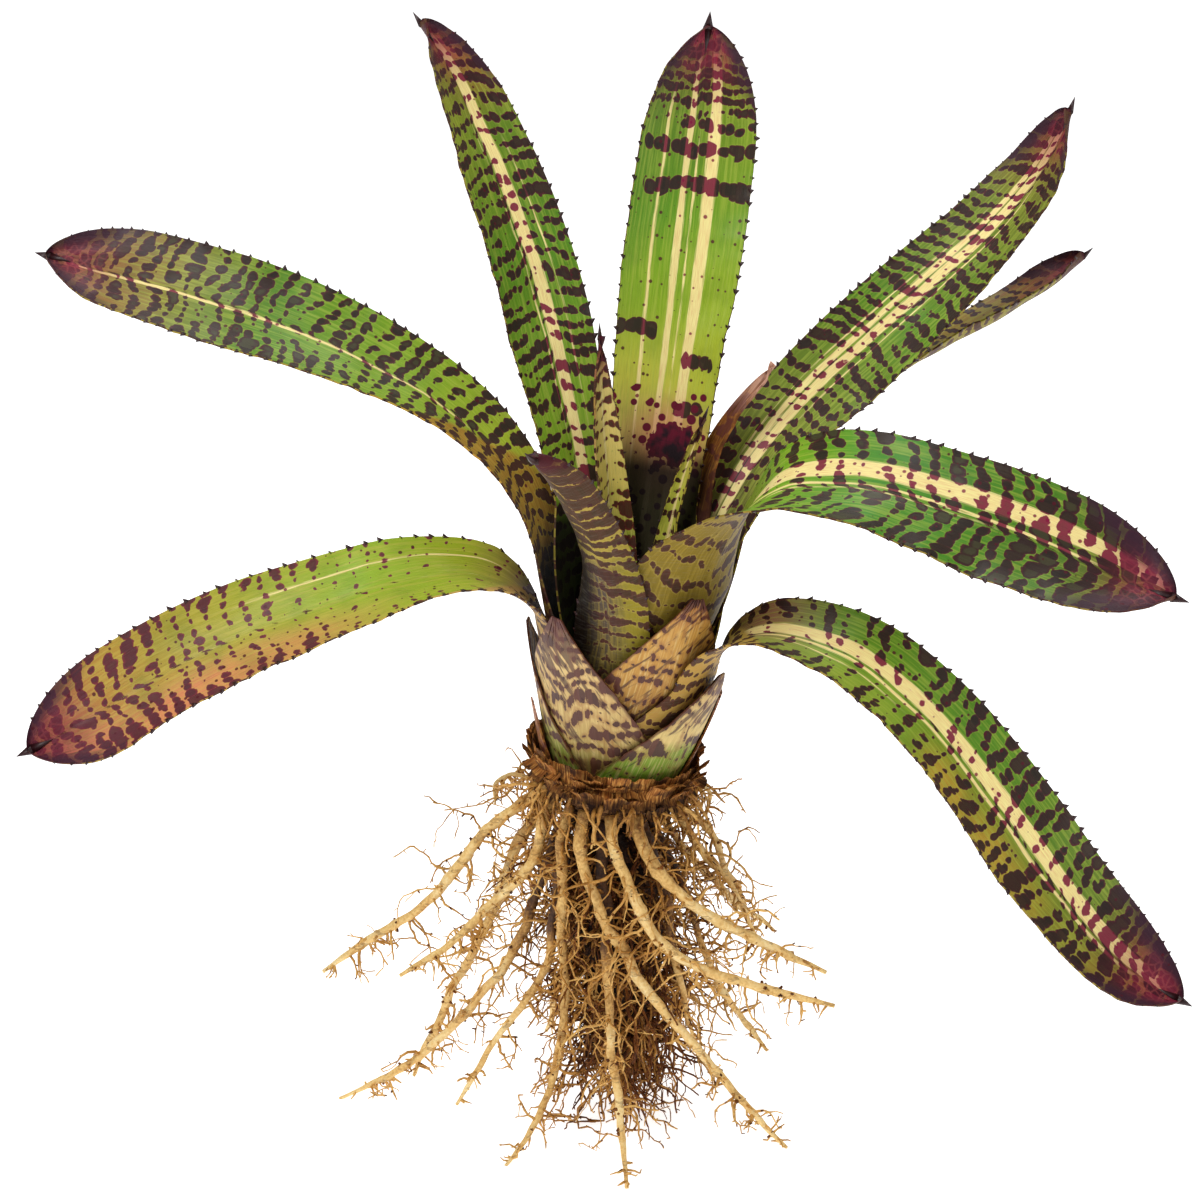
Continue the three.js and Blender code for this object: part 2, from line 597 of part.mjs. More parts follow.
// The core's middle line drifts to +X as it hangs.
function coreMiddle(z) {
  return new THREE.Vector3(0.05 * (CORE_HEIGHTS[0] - z), 0, z);
}

function fineRootsGeometry() {
  const draw = seeded(77);
  const ways = [];
  for (let j = 0; j < CORE_SIDES; j += 1) {
    const angle = 2 * Math.PI * j / CORE_SIDES;
    ways.push(new THREE.Vector3(Math.cos(angle), Math.sin(angle), 0));
  }
  // the top ring lies against the flat underside of the crown
  const core = ways.map((way) => {
    const place = way.clone().multiplyScalar(CROWN_BOTTOM.r - 1.5);
    place.z = CROWN_BOTTOM.z - FIT_GAP;
    return rosette.localToWorld(place);
  });
  CORE_HEIGHTS.forEach((z, k) => {
    const q = k / (CORE_HEIGHTS.length - 1);
    const wanted = 5 + 17 * Math.sin(Math.PI * (0.25 + q * 0.75));
    for (const way of ways) {
      let reach = wanted * draw(0.75, 1.15);
      while (reach > 2.5 && !isClear(coreMiddle(z).addScaledVector(way, reach), CORE_MARGIN, 'fine_roots')) {
        reach -= 0.5;
      }
      core.push(coreMiddle(z).addScaledVector(way, reach));
    }
  });
  const triangles = [];
  for (let k = 0; k < CORE_HEIGHTS.length; k += 1) {
    for (let j = 0; j < CORE_SIDES; j += 1) {
      const a = k * CORE_SIDES + j;
      const b = k * CORE_SIDES + (j + 1) % CORE_SIDES;
      triangles.push([b, a, b + CORE_SIDES], [a, a + CORE_SIDES, b + CORE_SIDES]);
    }
  }
  const last = CORE_HEIGHTS.length * CORE_SIDES;
  for (let j = 1; j < CORE_SIDES - 1; j += 1) {
    triangles.push([0, j, j + 1], [last, last + j + 1, last + j]);
  }
  const rootlets = [];
  for (let tries = 0; rootlets.length < FINE_ROOTLETS && tries < 2500; tries += 1) {
    const z = draw(24, 108);
    const turn = draw(0, 2 * Math.PI);
    const way = new THREE.Vector3(Math.cos(turn), Math.sin(turn), draw(-1.4, 0.1)).normalize();
    const from = coreMiddle(z).add(new THREE.Vector3(2 * Math.cos(turn), 2 * Math.sin(turn), 0));
    const length = draw(34, 62);
    const rootlet = rootletStations(from, way, length, FINE_ROOTLET_RADIUS, 'fine_roots', draw, 2);
    if (rootlet) {
      rootlets.push(toSolid(tubeGeometry(rootlet, ROOTLET_SIDES)));
    }
  }
  return fromSolid(wasm.Manifold.union([toSolid(geometryOf(core, triangles)), ...rootlets]));
}
addPiece(model, 'fine_roots', fineRootsGeometry(), FINE_ROOT, 0.9);

// The origin is under the middle of the plant, on the ground.
model.updateMatrixWorld(true);
const box = new THREE.Box3().setFromObject(model, true);
const middle = box.getCenter(new THREE.Vector3());
model.children.forEach((child) => {
  child.position.x -= middle.x;
  child.position.y -= middle.y;
});

export default model;
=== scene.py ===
import math
import random

import bmesh
import bpy
from mathutils import Matrix, Vector, noise


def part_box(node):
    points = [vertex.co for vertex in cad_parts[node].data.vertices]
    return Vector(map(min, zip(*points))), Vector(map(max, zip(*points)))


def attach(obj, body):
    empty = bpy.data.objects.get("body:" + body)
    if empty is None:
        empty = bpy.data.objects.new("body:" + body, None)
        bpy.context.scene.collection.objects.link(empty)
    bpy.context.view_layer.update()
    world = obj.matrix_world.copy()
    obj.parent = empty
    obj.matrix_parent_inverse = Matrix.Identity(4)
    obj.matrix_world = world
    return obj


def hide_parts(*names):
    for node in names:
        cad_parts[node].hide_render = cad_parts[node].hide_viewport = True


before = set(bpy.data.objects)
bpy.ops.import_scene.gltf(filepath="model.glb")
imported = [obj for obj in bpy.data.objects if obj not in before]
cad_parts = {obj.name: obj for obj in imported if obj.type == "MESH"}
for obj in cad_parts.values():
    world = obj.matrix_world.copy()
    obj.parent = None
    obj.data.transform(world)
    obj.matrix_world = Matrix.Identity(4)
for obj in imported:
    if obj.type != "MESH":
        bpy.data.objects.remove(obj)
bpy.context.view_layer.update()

# ---- Studio ----
# A pale floor that fills the view, with large soft lights over it. The camera stands 1.2 m off and looks
# down by 20 degrees at the middle of the plant, which is found from the stem's box.
LEAN_DRIFT = 0.000286  # the leaning stem's box is off its axis by this much
stem_low, stem_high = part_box("stem")
stem_axis = Vector(((stem_low.x + stem_high.x) / 2 + LEAN_DRIFT, (stem_low.y + stem_high.y) / 2, 0))

VIEW_ANGLE = math.radians(20)
VIEW_DISTANCE = 1.2
aim = stem_axis + Vector((-0.0047, 0, 0.207))
lens = bpy.data.cameras.new("camera")
lens.lens = 100
lens.sensor_width = 36
camera = bpy.data.objects.new("camera", lens)
camera.location = aim + VIEW_DISTANCE * Vector((0, -math.cos(VIEW_ANGLE), math.sin(VIEW_ANGLE)))
camera.rotation_euler = (math.pi / 2 - VIEW_ANGLE, 0, 0)
bpy.context.scene.collection.objects.link(camera)
bpy.context.scene.camera = camera
bpy.context.scene.view_settings.view_transform = "Standard"

sky = bpy.data.worlds.new("studio")
sky.use_nodes = True
background = sky.node_tree.nodes["Background"]
background.inputs["Color"].default_value = (1, 1, 1, 1)
background.inputs["Strength"].default_value = 0.25
bpy.context.scene.world = sky

for name, place, size, power in (
    ("key_light", Vector((-0.8, -0.9, 1.5)), 0.7, 20),
    ("fill_light", Vector((1.2, -1.1, 0.9)), 1.0, 4),
    ("top_light", Vector((0.2, 0.6, 1.5)), 0.8, 12),
):
    lamp = bpy.data.lights.new(name, "AREA")
    lamp.size = size
    lamp.energy = power
    light = bpy.data.objects.new(name, lamp)
    light.location = aim + place
    light.rotation_euler = (-place).to_track_quat("-Z", "Y").to_euler()
    bpy.context.scene.collection.objects.link(light)

floor_paint = bpy.data.materials.new("floor_paint")
floor_paint.use_nodes = True
floor_shader = floor_paint.node_tree.nodes["Principled BSDF"]
floor_shader.inputs["Base Color"].default_value = (0.93, 0.93, 0.93, 1)
floor_shader.inputs["Roughness"].default_value = 0.9
floor_shader.inputs["Emission Color"].default_value = (1, 1, 1, 1)
floor_shader.inputs["Emission Strength"].default_value = 0.8
floor_mesh = bmesh.new()
bmesh.ops.create_grid(floor_mesh, x_segments=1, y_segments=1, size=8)
floor_data = bpy.data.meshes.new("floor")
floor_mesh.to_mesh(floor_data)
floor_mesh.free()
floor_data.materials.append(floor_paint)
floor = bpy.data.objects.new("floor", floor_data)
bpy.context.scene.collection.objects.link(floor)

# ---- Grown leaves ----
# Nine stiff strap leaves. Each is one piece: a sheath that clasps the bundle, a channelled blade, dark spines
# along both margins and a hard sharp tip. Sizes are in mm in the rosette's own frame, turns in degrees.
CROWN_HEIGHT = 0.140  # the rosette's own frame starts here, in metres, and leans
LEAN = math.radians(6.7)
BUNDLE_RADIUS = 26.5
BUNDLE_SLOPE = 0.28
SHEATH_PITCH = 1.3
SHEATH_STEP = 1.625
OUTER_LEVEL = 16  # levels count the layers of the bundle from 0, the innermost
BLADE_THICKNESS = 0.7
NECK_SHARE = 0.8
FRAME_BLEND = 25  # over this length a blade's frame turns from upright to its own rise
CHANNEL_BLEND = 40  # over this length its section changes from the bundle's curve to its own fold
TIP_LENGTH = 5

LEAVES = {
    "leaf_a": dict(level=7, az=165, head=165, neck=82, length=221, width=40, hold=100, fold=28,
                   elev=(73, 40, 20, 13, 7, 4, 4), roll=(0, -23, -45, -31)),
    "leaf_b": dict(level=10, az=192, head=189, neck=60, length=202, width=39.5, hold=100, fold=28,
                   elev=(60, -3, -24, -24, -32, -39, -30), roll=(0, -31, -44, -50)),
    "leaf_c": dict(level=3, az=128, head=148, neck=95, length=184, width=38, hold=95, fold=28,
                   elev=(61, 62, 65, 60, 56, 54, 39), roll=(0, -29, -15, 10)),
    "leaf_d": dict(level=1, az=85, head=90, neck=95, length=173, width=45, hold=95, fold=28,
                   elev=(80, 79, 76, 75, 76, 78, 81), roll=(0, -12, 10, 24)),
    "leaf_e": dict(level=5, az=40, head=36, neck=92, length=212, width=40, hold=100, fold=28,
                   elev=(65, 46, 36, 36, 37, 49, 78), roll=(0, 37, 10, -22)),
    "leaf_f": dict(level=8, az=50, head=30, neck=78, length=200, width=33, hold=95, fold=35,
                   elev=(57, 41, 31, 24, 22, 28, 40), roll=(0, 4, -22, -15)),
    "leaf_g": dict(level=4, az=-45, head=-15, neck=80, length=196, width=43, hold=100, fold=28,
                   neck_share=1.5, elev=(88, 60, 16, -6, -9, -14, -7), roll=(0, 18, 55, 33)),
    "leaf_h": dict(level=11, az=-32, head=-6, neck=45, length=244, width=40, hold=100, fold=28,
                   elev=(84, 8, -31, -46, -48, -43, -19), roll=(0, 34, 51, 29)),
    "leaf_i": dict(level=6, az=-106, head=-132, neck=60, length=101, width=23, hold=95, fold=62,
                   neck_share=1.25, elev=(70, 62, 54, 46, 34), roll=(0, 15, 5)),
}


def smooth(x):
    """0 to 1 with gentle ends, for x from 0 to 1."""
    t = min(1.0, max(0.0, x))
    return t * t * (3 - 2 * t)


def along_list(values, t):
    """A list of evenly spaced values, read between them; t is 0 at the first and 1 at the last."""
    at = min(1.0, max(0.0, t)) * (len(values) - 1)
    i = min(int(at), len(values) - 2)
    return values[i] + (values[i + 1] - values[i]) * (at - i)


def sheath_radius(level, height):
    """The bundle is a funnel of layers; the outermost has the largest radius."""
    return BUNDLE_RADIUS + BUNDLE_SLOPE * height - (OUTER_LEVEL - level) * SHEATH_PITCH


def sheath_foot(level):
    """Inner sheaths grow from higher up the stem."""
    return (OUTER_LEVEL - level) * SHEATH_STEP


def half_width(leaf, t):
    """Half a blade's width: it swells slowly, then rounds off. A small leaf narrows all the way."""
    if "taper" in leaf:
        return leaf["width"] / 2 * max(0.0, 1 - t) ** leaf["taper"]
    neck_share = leaf.get("neck_share", NECK_SHARE)
    swell = neck_share + (1 - neck_share) * smooth(t / 0.6)
    round_from = 1 - leaf["width"] / leaf["length"]
    x = min(1.0, max(0.0, (t - round_from) / (1 - round_from)))
    return leaf["width"] / 2 * swell * (1 - x ** 2.2) ** 0.6


def on_sheath(leaf, height, offset):
    """A point of a leaf's sheath, `offset` radians round from its middle, and its inward normal."""
    angle = math.radians(leaf["az"]) + offset
    out = Vector((math.cos(angle), math.sin(angle), 0))
    return out * sheath_radius(leaf["level"], height) + Vector((0, 0, height)), -out


def sheath_half_angle(leaf, rise, top_angle):
    """How far round the bundle a sheath reaches each way, from its foot (rise 0) to its top (rise 1)."""
    return top_angle + (math.radians(leaf["hold"]) - top_angle) * (1 - rise) ** 1.15


class Blade:
    """The course of a leaf's blade: its middle line, and the channelled section that runs along it."""

    def __init__(self, leaf, ripple):
        self.leaf = leaf
        self.ripple = ripple
        steps = round(leaf["length"])
        self.line = [on_sheath(leaf, leaf["neck"], 0)[0]]
        for i in range(steps):
            t = (i + 0.5) / steps
            rise = math.radians(along_list(leaf["elev"], t))
            turn = self.heading(t)
            way = Vector((math.cos(rise) * math.cos(turn), math.cos(rise) * math.sin(turn), math.sin(rise)))
            self.line.append(self.line[-1] + way * leaf["length"] / steps)
        self.neck_fold = half_width(leaf, 0) / sheath_radius(leaf["level"], leaf["neck"])

    def heading(self, t):
        return math.radians(self.leaf["az"] + (self.leaf["head"] - self.leaf["az"]) * smooth(t / 0.5))

    def at(self, t, u):
        """A point of the middle surface, with the normal of its upper face; u is -1 to 1 across."""
        leaf = self.leaf
        place = t * (len(self.line) - 1)
        i = min(int(place), len(self.line) - 2)
        spine = self.line[i].lerp(self.line[i + 1], place - i)
        run = t * leaf["length"]
        turn = self.heading(t)
        rise = math.radians(90 + (along_list(leaf["elev"], t) - 90) * smooth(run / FRAME_BLEND))
        twist = math.radians(along_list(leaf["roll"], t))
        level = Vector((-math.sin(turn), math.cos(turn), 0))
        upper = Vector((-math.sin(rise) * math.cos(turn), -math.sin(rise) * math.sin(turn), math.cos(rise)))
        side = level * math.cos(twist) + upper * math.sin(twist)
        face = upper * math.cos(twist) - level * math.sin(twist)
        fold = self.neck_fold + (math.radians(leaf["fold"]) - self.neck_fold) * smooth(run / CHANNEL_BLEND)
        bend = half_width(leaf, t) / fold
        point = spine + side * bend * math.sin(u * fold) + face * bend * (1 - math.cos(u * fold))
        return point, face * math.cos(u * fold) - side * math.sin(u * fold)

    def grown(self, t, u):
        """The same with the waves of the blade, its groove, the frill of its margin and its cupped tip."""
        point, normal = self.at(t, u)
        across, along = u * half_width(self.leaf, t), t * self.leaf["length"]
        wave = noise.noise(Vector((across / 14 + self.ripple, along / 16, 0)))
        frill = noise.noise(Vector((self.ripple, along / 5, u)))
        relief = 0.7 * wave + 0.5 * frill * abs(u) ** 6 - 0.55 * math.exp(-((across / 2.4) ** 2))
        cup = 2.6 * smooth((t - 0.88) / 0.12) * u * u
        return point + normal * (smooth(t / 0.1) * relief + cup), normal


rosette_to_world = (
    Matrix.Translation(stem_axis + Vector((0, 0, CROWN_HEIGHT)))
    @ Matrix.Rotation(LEAN, 4, "Y")
    @ Matrix.Scale(0.001, 4)
)


def add_piece(name, mesh, to_world, skins, node):
    """Turns a millimetre mesh into a smooth piece that stands for a CAD node."""
    bmesh.ops.transform(mesh, matrix=to_world, verts=mesh.verts)
    for face in mesh.faces:
        face.smooth = True
    data = bpy.data.meshes.new(name)
    mesh.to_mesh(data)
    mesh.free()
    for skin in skins:
        data.materials.append(skin.material)
    made = bpy.data.objects.new(name, data)
    bpy.context.scene.collection.objects.link(made)
    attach(made, "root")
    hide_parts(node)
    return made


def lay_sheet(mesh, columns, rows, thickness, shape):
    """A closed sheet of the given thickness. shape(u, q) gives the middle point, the upper normal and the two
    vectors that the materials read. The upper face gets skin 0, the lower face and the rim skin 1."""
    layers = mesh.verts.layers.float_vector
    place, share, lift = (layers.get(name) or layers.new(name) for name in ("place", "share", "lift"))
    verts = bmesh.ops.create_grid(mesh, x_segments=columns, y_segments=rows, size=1)["verts"]
    for vert in verts:
        point, normal, vert[place], vert[share] = shape(-vert.co.x, (vert.co.y + 1) / 2)
        vert[lift] = normal * thickness
        vert.co = point - normal * thickness / 2
    bmesh.ops.remove_doubles(mesh, verts=verts, dist=0.001)
    faces = list(dict.fromkeys(face for vert in verts if vert.is_valid for face in vert.link_faces))
    for face in faces:
        face.material_index = 1
    made = bmesh.ops.extrude_face_region(mesh, geom=faces)["geom"]
    for item in made:
        if isinstance(item, bmesh.types.BMVert):
            item.co += item[lift]
        if isinstance(item, bmesh.types.BMFace):
            item.material_index = 0
    for edge in mesh.edges:
        if edge.calc_face_angle(0) > 0.9:
            edge.smooth = False
    layers.remove(layers["lift"])


def leaf_mesh(leaf, columns, row_gap, draw):
    """Clasping sheath and blade as one sheet. 'place' is millimetres across and along from the neck; 'share'
    is -1 to 1 across and the share of the blade's length, below 0 in the sheath."""
    foot = sheath_foot(leaf["level"])
    sheath_length = leaf["neck"] - foot
    whole = sheath_length + leaf["length"]
    blade = Blade(leaf, draw.uniform(0, 100))

    def shape(u, q):
        run = q * whole
        t = (run - sheath_length) / leaf["length"]
        if run < sheath_length:
            half = sheath_half_angle(leaf, run / sheath_length, blade.neck_fold)
            point, normal = on_sheath(leaf, foot + run, half * u)
            across = half * u * sheath_radius(leaf["level"], foot + run)
        else:
            if t > 0.85:
                t = 0.85 + 0.15 * math.sin(math.pi / 2 * (t - 0.85) / 0.15)
            point, normal = blade.grown(t, u)
            across = u * half_width(leaf, t)
        return point, normal, Vector((across, t * leaf["length"], 0)), Vector((u, t, 0))

    mesh = bmesh.new()
    lay_sheet(mesh, columns, round(whole / row_gap), BLADE_THICKNESS, shape)
    return mesh, blade


def add_spike(mesh, point, way, flat, base, length, thin=0.45):
    """A hard spike of six sides on skin 2, flattened across the blade, rooted a little inside the margin."""
    along = way.cross(flat).normalized()
    turn = Matrix((along, flat * thin, way)).transposed().to_4x4()
    matrix = Matrix.Translation(point + way * (length / 2 - 0.6)) @ turn
    made = bmesh.ops.create_cone(
        mesh, cap_ends=True, segments=6, radius1=base, radius2=0.04, depth=length, matrix=matrix
    )
    for face in {face for vert in made["verts"] for face in vert.link_faces}:
        face.material_index = 2


def add_spines(mesh, leaf, blade, gap, base, length, draw):
    """Spines along both margins that point out and forward, and the tip: two cones base to base. One goes on
    from the blade and the other runs back into it."""
    for u in (-1, 1):
        run = draw.uniform(2, 5)
        while run < leaf["length"] * 0.985 - 3:
            t = run / leaf["length"]
            point, flat = blade.grown(t, u)
            out = (point - blade.grown(t, u * 0.85)[0]).normalized()
            forward = (blade.grown(t + 0.01, u)[0] - point).normalized()
            way = (out + forward * draw.uniform(0.2, 0.5)).normalized()
            size = draw.uniform(0.75, 1.15) * (1.3 if t < 0.8 else 1)
            add_spike(mesh, point, way, flat, base * size, length * size)
            run += gap * draw.uniform(0.8, 1.25) * (1 if t < 0.75 else 0.75)
    end = blade.line[-1]
    way = (end - blade.line[-6]).normalized()
    flat = blade.at(0.97, 0)[1]
    add_spike(mesh, end - way * 0.9, way, flat, base * 2.2, TIP_LENGTH + 1.35, 0.6)
    add_spike(mesh, end - way * 1.3, -way, flat, base * 2.1, 9.0, 0.5)


def paint(red, green, blue):
    """A colour on the usual 0 to 255 scale, as the linear light that a shader takes."""
    return tuple((c / 255) ** 2.2 for c in (red, green, blue)) + (1.0,)


class Shade:
    """A number, vector or colour that varies over a surface. Arithmetic on it adds Math nodes."""

    def __init__(self, skin, socket):
        self.skin = skin
        self.socket = socket

    def maths(self, operation, *values):
        return self.skin.node("Math", {"operation": operation}, dict(enumerate(values)))

    def __add__(self, other):
        return self.maths("ADD", self, other)

    __radd__ = __add__

    def __mul__(self, other):
        return self.maths("MULTIPLY", self, other)

    __rmul__ = __mul__

    def __sub__(self, other):
        return self.maths("SUBTRACT", self, other)

    def __rsub__(self, other):
        return self.maths("SUBTRACT", other, self)

    def __abs__(self):
        return self.maths("ABSOLUTE", self)

    def most(self, other):
        return self.maths("MAXIMUM", self, other)

    def also(self, output):
        """Another output of the same node."""
        return Shade(self.skin, self.socket.node.outputs[output])

    def rises(self, low, high):
        """0 below low, 1 above high, smooth between."""
        settings = {"interpolation_type": "SMOOTHSTEP"}
        return self.skin.node("MapRange", settings, {"Value": self, "From Min": low, "From Max": high})


class Skin:
    """A material that is being built, with the shader's fixed values given by socket name."""

    def __init__(self, name, fixed):
        self.material = bpy.data.materials.new(name)
        self.material.use_nodes = True
        self.tree = self.material.node_tree
        self.shader = self.tree.nodes["Principled BSDF"]
        for socket, value in fixed.items():
            self.shader.inputs[socket].default_value = value

    def node(self, kind, settings, sockets, output=0):
        """Adds one node: its settings first, then the values or links of its sockets."""
        made = self.tree.nodes.new("ShaderNode" + kind)
        for name, value in settings.items():
            if name == "stops":
                for _ in value[2:]:
                    made.color_ramp.elements.new(0.5)
                for element, (place, colour) in zip(made.color_ramp.elements, value):
                    element.position = place
                    element.color = colour
            else:
                setattr(made, name, value)
        for name, value in sockets.items():
            self.feed(made.inputs[name], value)
        return Shade(self, made.outputs[output])

    def feed(self, socket, value):
        if isinstance(value, Shade):
            self.tree.links.new(value.socket, socket)
        else:
            socket.default_value = value

    def read(self, attribute):
        return self.node("Attribute", {"attribute_name": attribute}, {}, "Vector")

    def part(self, vector, axis):
        return self.node("SeparateXYZ", {}, {0: vector}, axis)

    def vector(self, x, y, z=0.0):
        return self.node("CombineXYZ", {}, {0: x, 1: y, 2: z})

    def vector_maths(self, operation, a, b, output=0):
        return self.node("VectorMath", {"operation": operation}, {0: a, 1: b}, output)

    def distance(self, x, y):
        return self.vector_maths("LENGTH", self.vector(x, y), (0, 0, 0), "Value")

    def grain(self, vector, scale, detail):
        return self.node("TexNoise", {}, {"Vector": vector, "Scale": scale, "Detail": detail})

    def ramp(self, value, stops, low=0.0):
        """Colours at places from low to 1 along a value."""
        stops = [((place - low) / (1 - low), colour) for place, colour in stops]
        return self.node("ValToRGB", {"stops": stops}, {"Fac": (value - low) * (1 / (1 - low))})

    def level(self, value, stops, low=0.0):
        """Numbers from -3 up at places from low to 1 along a value."""
        return self.ramp(value, [(place, (number + 3,) * 3 + (1,)) for place, number in stops], low) - 3

    def mix(self, factor, a, b):
        return self.node("Mix", {"data_type": "RGBA"}, {0: factor, 6: a, 7: b}, 2)

    def finish(self, colour, roughness, height, depth):
        """Links what varies to the shader; depth is the relief's height in metres."""
        self.feed(self.shader.inputs["Base Color"], colour)
        self.feed(self.shader.inputs["Roughness"], roughness)
        bump = self.node("Bump", {}, {"Height": height, "Distance": depth, "Strength": 1.0})
        self.feed(self.shader.inputs["Normal"], bump)


def blotches(skin, across, off, radius, seed, spacing):
    """How far inside a blotch a point is, in mm, and that blotch's own number. They stand in a row, `spacing`
    apart, and touch and merge. `off` is the distance from the row's line and `radius` their mean radius."""
    settings = {"voronoi_dimensions": "1D"}
    sockets = {"W": across * (1 / spacing) + seed, "Scale": 1.0, "Randomness": 0.8}
    aside = skin.node("TexVoronoi", settings, sockets, "Distance")
    own, other = (skin.part(aside.also("Color"), axis) for axis in "XY")
    reach = skin.distance(aside * spacing, off + (other - 0.5) * (spacing * 0.45))
    return radius + (own - 0.5) * (spacing * 0.36) - reach, own


def tiger_bars(skin, place, strength, pitch, phase, lean=0.22, drift=12.0, spacing=0.47):
    """Cross bars of the kind these leaves have: rows of round blotches that run together where `strength` is
    high and break up where it is low. Gives how far inside a bar a point is, and each blotch's own number."""
    shifted = skin.vector_maths("ADD", place, (phase * 3.7, phase * 3.7, 0))
    slow = skin.grain(shifted, 0.045, 1)
    quick = skin.grain(shifted, 0.22, 1)
    across, along = skin.part(place, "X"), skin.part(place, "Y")
    bow = abs(across) * lean + across.rises(-1, 1) * (pitch * 0.42)
    wave = (along + bow + (slow - 0.5) * drift + (quick - 0.5) * 3.4) * (1 / pitch)
    row = wave.maths("FLOOR", wave)
    half = across.rises(-0.5, 0.5) * 31
    present = skin.grain(skin.vector(across * 0.1 + half, row * 5.3 + phase), 1.0, 1)
    fray = skin.grain(shifted, 0.8, 2)
    radius = (strength * 1.5 + (present - 0.5) * 4.5 + 0.95) * (pitch / 6.2)
    radius = radius.maths("MINIMUM", radius, pitch * 0.5)
    off = (wave - row - 0.5) * pitch
    depth, own = blotches(skin, across, off, radius, row * 7.31 + phase, pitch * spacing)
    return depth + (fray - 0.5), own


def dots(skin, place, spacing, size, share):
    """Small round dots; `share` of the cells hold one."""
    settings = {"voronoi_dimensions": "2D"}
    sockets = {"Vector": place, "Scale": 1 / spacing, "Randomness": 0.9}
    distance = skin.node("TexVoronoi", settings, sockets, "Distance")
    own = skin.part(skin.node("TexVoronoi", settings, sockets, "Color"), "Y")
    radius = (own - (1 - share)) * (size / spacing / share)
    return (radius - distance).rises(-0.03, 0.04)


DARK = paint(36, 12, 27)
PLUM = paint(82, 14, 40)
MAGENTA = paint(128, 14, 58)
CREAM = paint(244, 228, 150)
CRIMSON = paint(140, 24, 50)
RIM = paint(170, 190, 70)


FOOT_SHARE = -0.4  # the colours along a leaf begin at this share of the blade's length, down in the sheath


def tint_sides(skin, colour, u, t, sides):
    """Tints a face towards a margin. Each entry has the margin's sign, a colour and its strength along."""
    for sign, tint, stops in sides:
        reach = (u * sign).rises(-0.1, 0.7) * skin.level(t, stops)
        colour = skin.mix(reach, colour, tint)
    return colour


def cream_stripes(u, t, half, ragged, stripes):
    """Where cream shows. A stripe has its place across, half its width in mm, its start and its end."""
    cream = t * 0.0
    for centre, wide, start, end in stripes:
        away = abs(u - centre) * half + ragged - wide
        ends = t.rises(start, start + 0.08) * (1 - t.rises(end - 0.1, end))
        cream = cream.most((1 - away.rises(-0.3, 0.35)) * ends)
    return cream


def netted_tip(skin, place, own, veins, pale, net):
    """Crimson cells with lighter lines between them, and rose where `pale` says."""
    settings = {"voronoi_dimensions": "2D", "feature": "DISTANCE_TO_EDGE"}
    rim = skin.node("TexVoronoi", settings, {"Vector": place, "Scale": 0.3, "Randomness": 1.0})
    cells = skin.mix(own, skin.mix(veins.rises(0.4, 0.6), paint(160, 52, 78), CRIMSON), paint(74, 14, 38))
    cells = skin.mix(pale * 0.75, cells, paint(236, 140, 132))
    return skin.mix((1 - rim.rises(0.02, 0.18)) * net, cells, paint(196, 90, 90))


def throat_marks(skin, colour, place, t, own, bars, length, marks):
    """Dark spots below the share `top`, and one large lobed blot with a rosy halo at `centre` and `aside`."""
    top, centre, aside = marks
    spots = dots(skin, place, 4.6, 2.1, 0.85) * (1 - t.rises(top, top + 0.002))
    away = skin.distance(skin.part(place, "X") - aside, skin.part(place, "Y") - centre * length)
    lobes = skin.grain(place, 0.14, 2)
    blot = 8.5 + (lobes - 0.5) * 34 + (own - 0.5) * 3 - away
    colour = skin.mix((1 - away.rises(8, 24)) * 0.6 * (1 - bars), colour, paint(206, 122, 100))
    wine = skin.mix(blot.rises(1, 7), paint(100, 14, 42), DARK)
    return skin.mix(spots.most(blot.rises(-0.3, 0.3)), colour, wine)


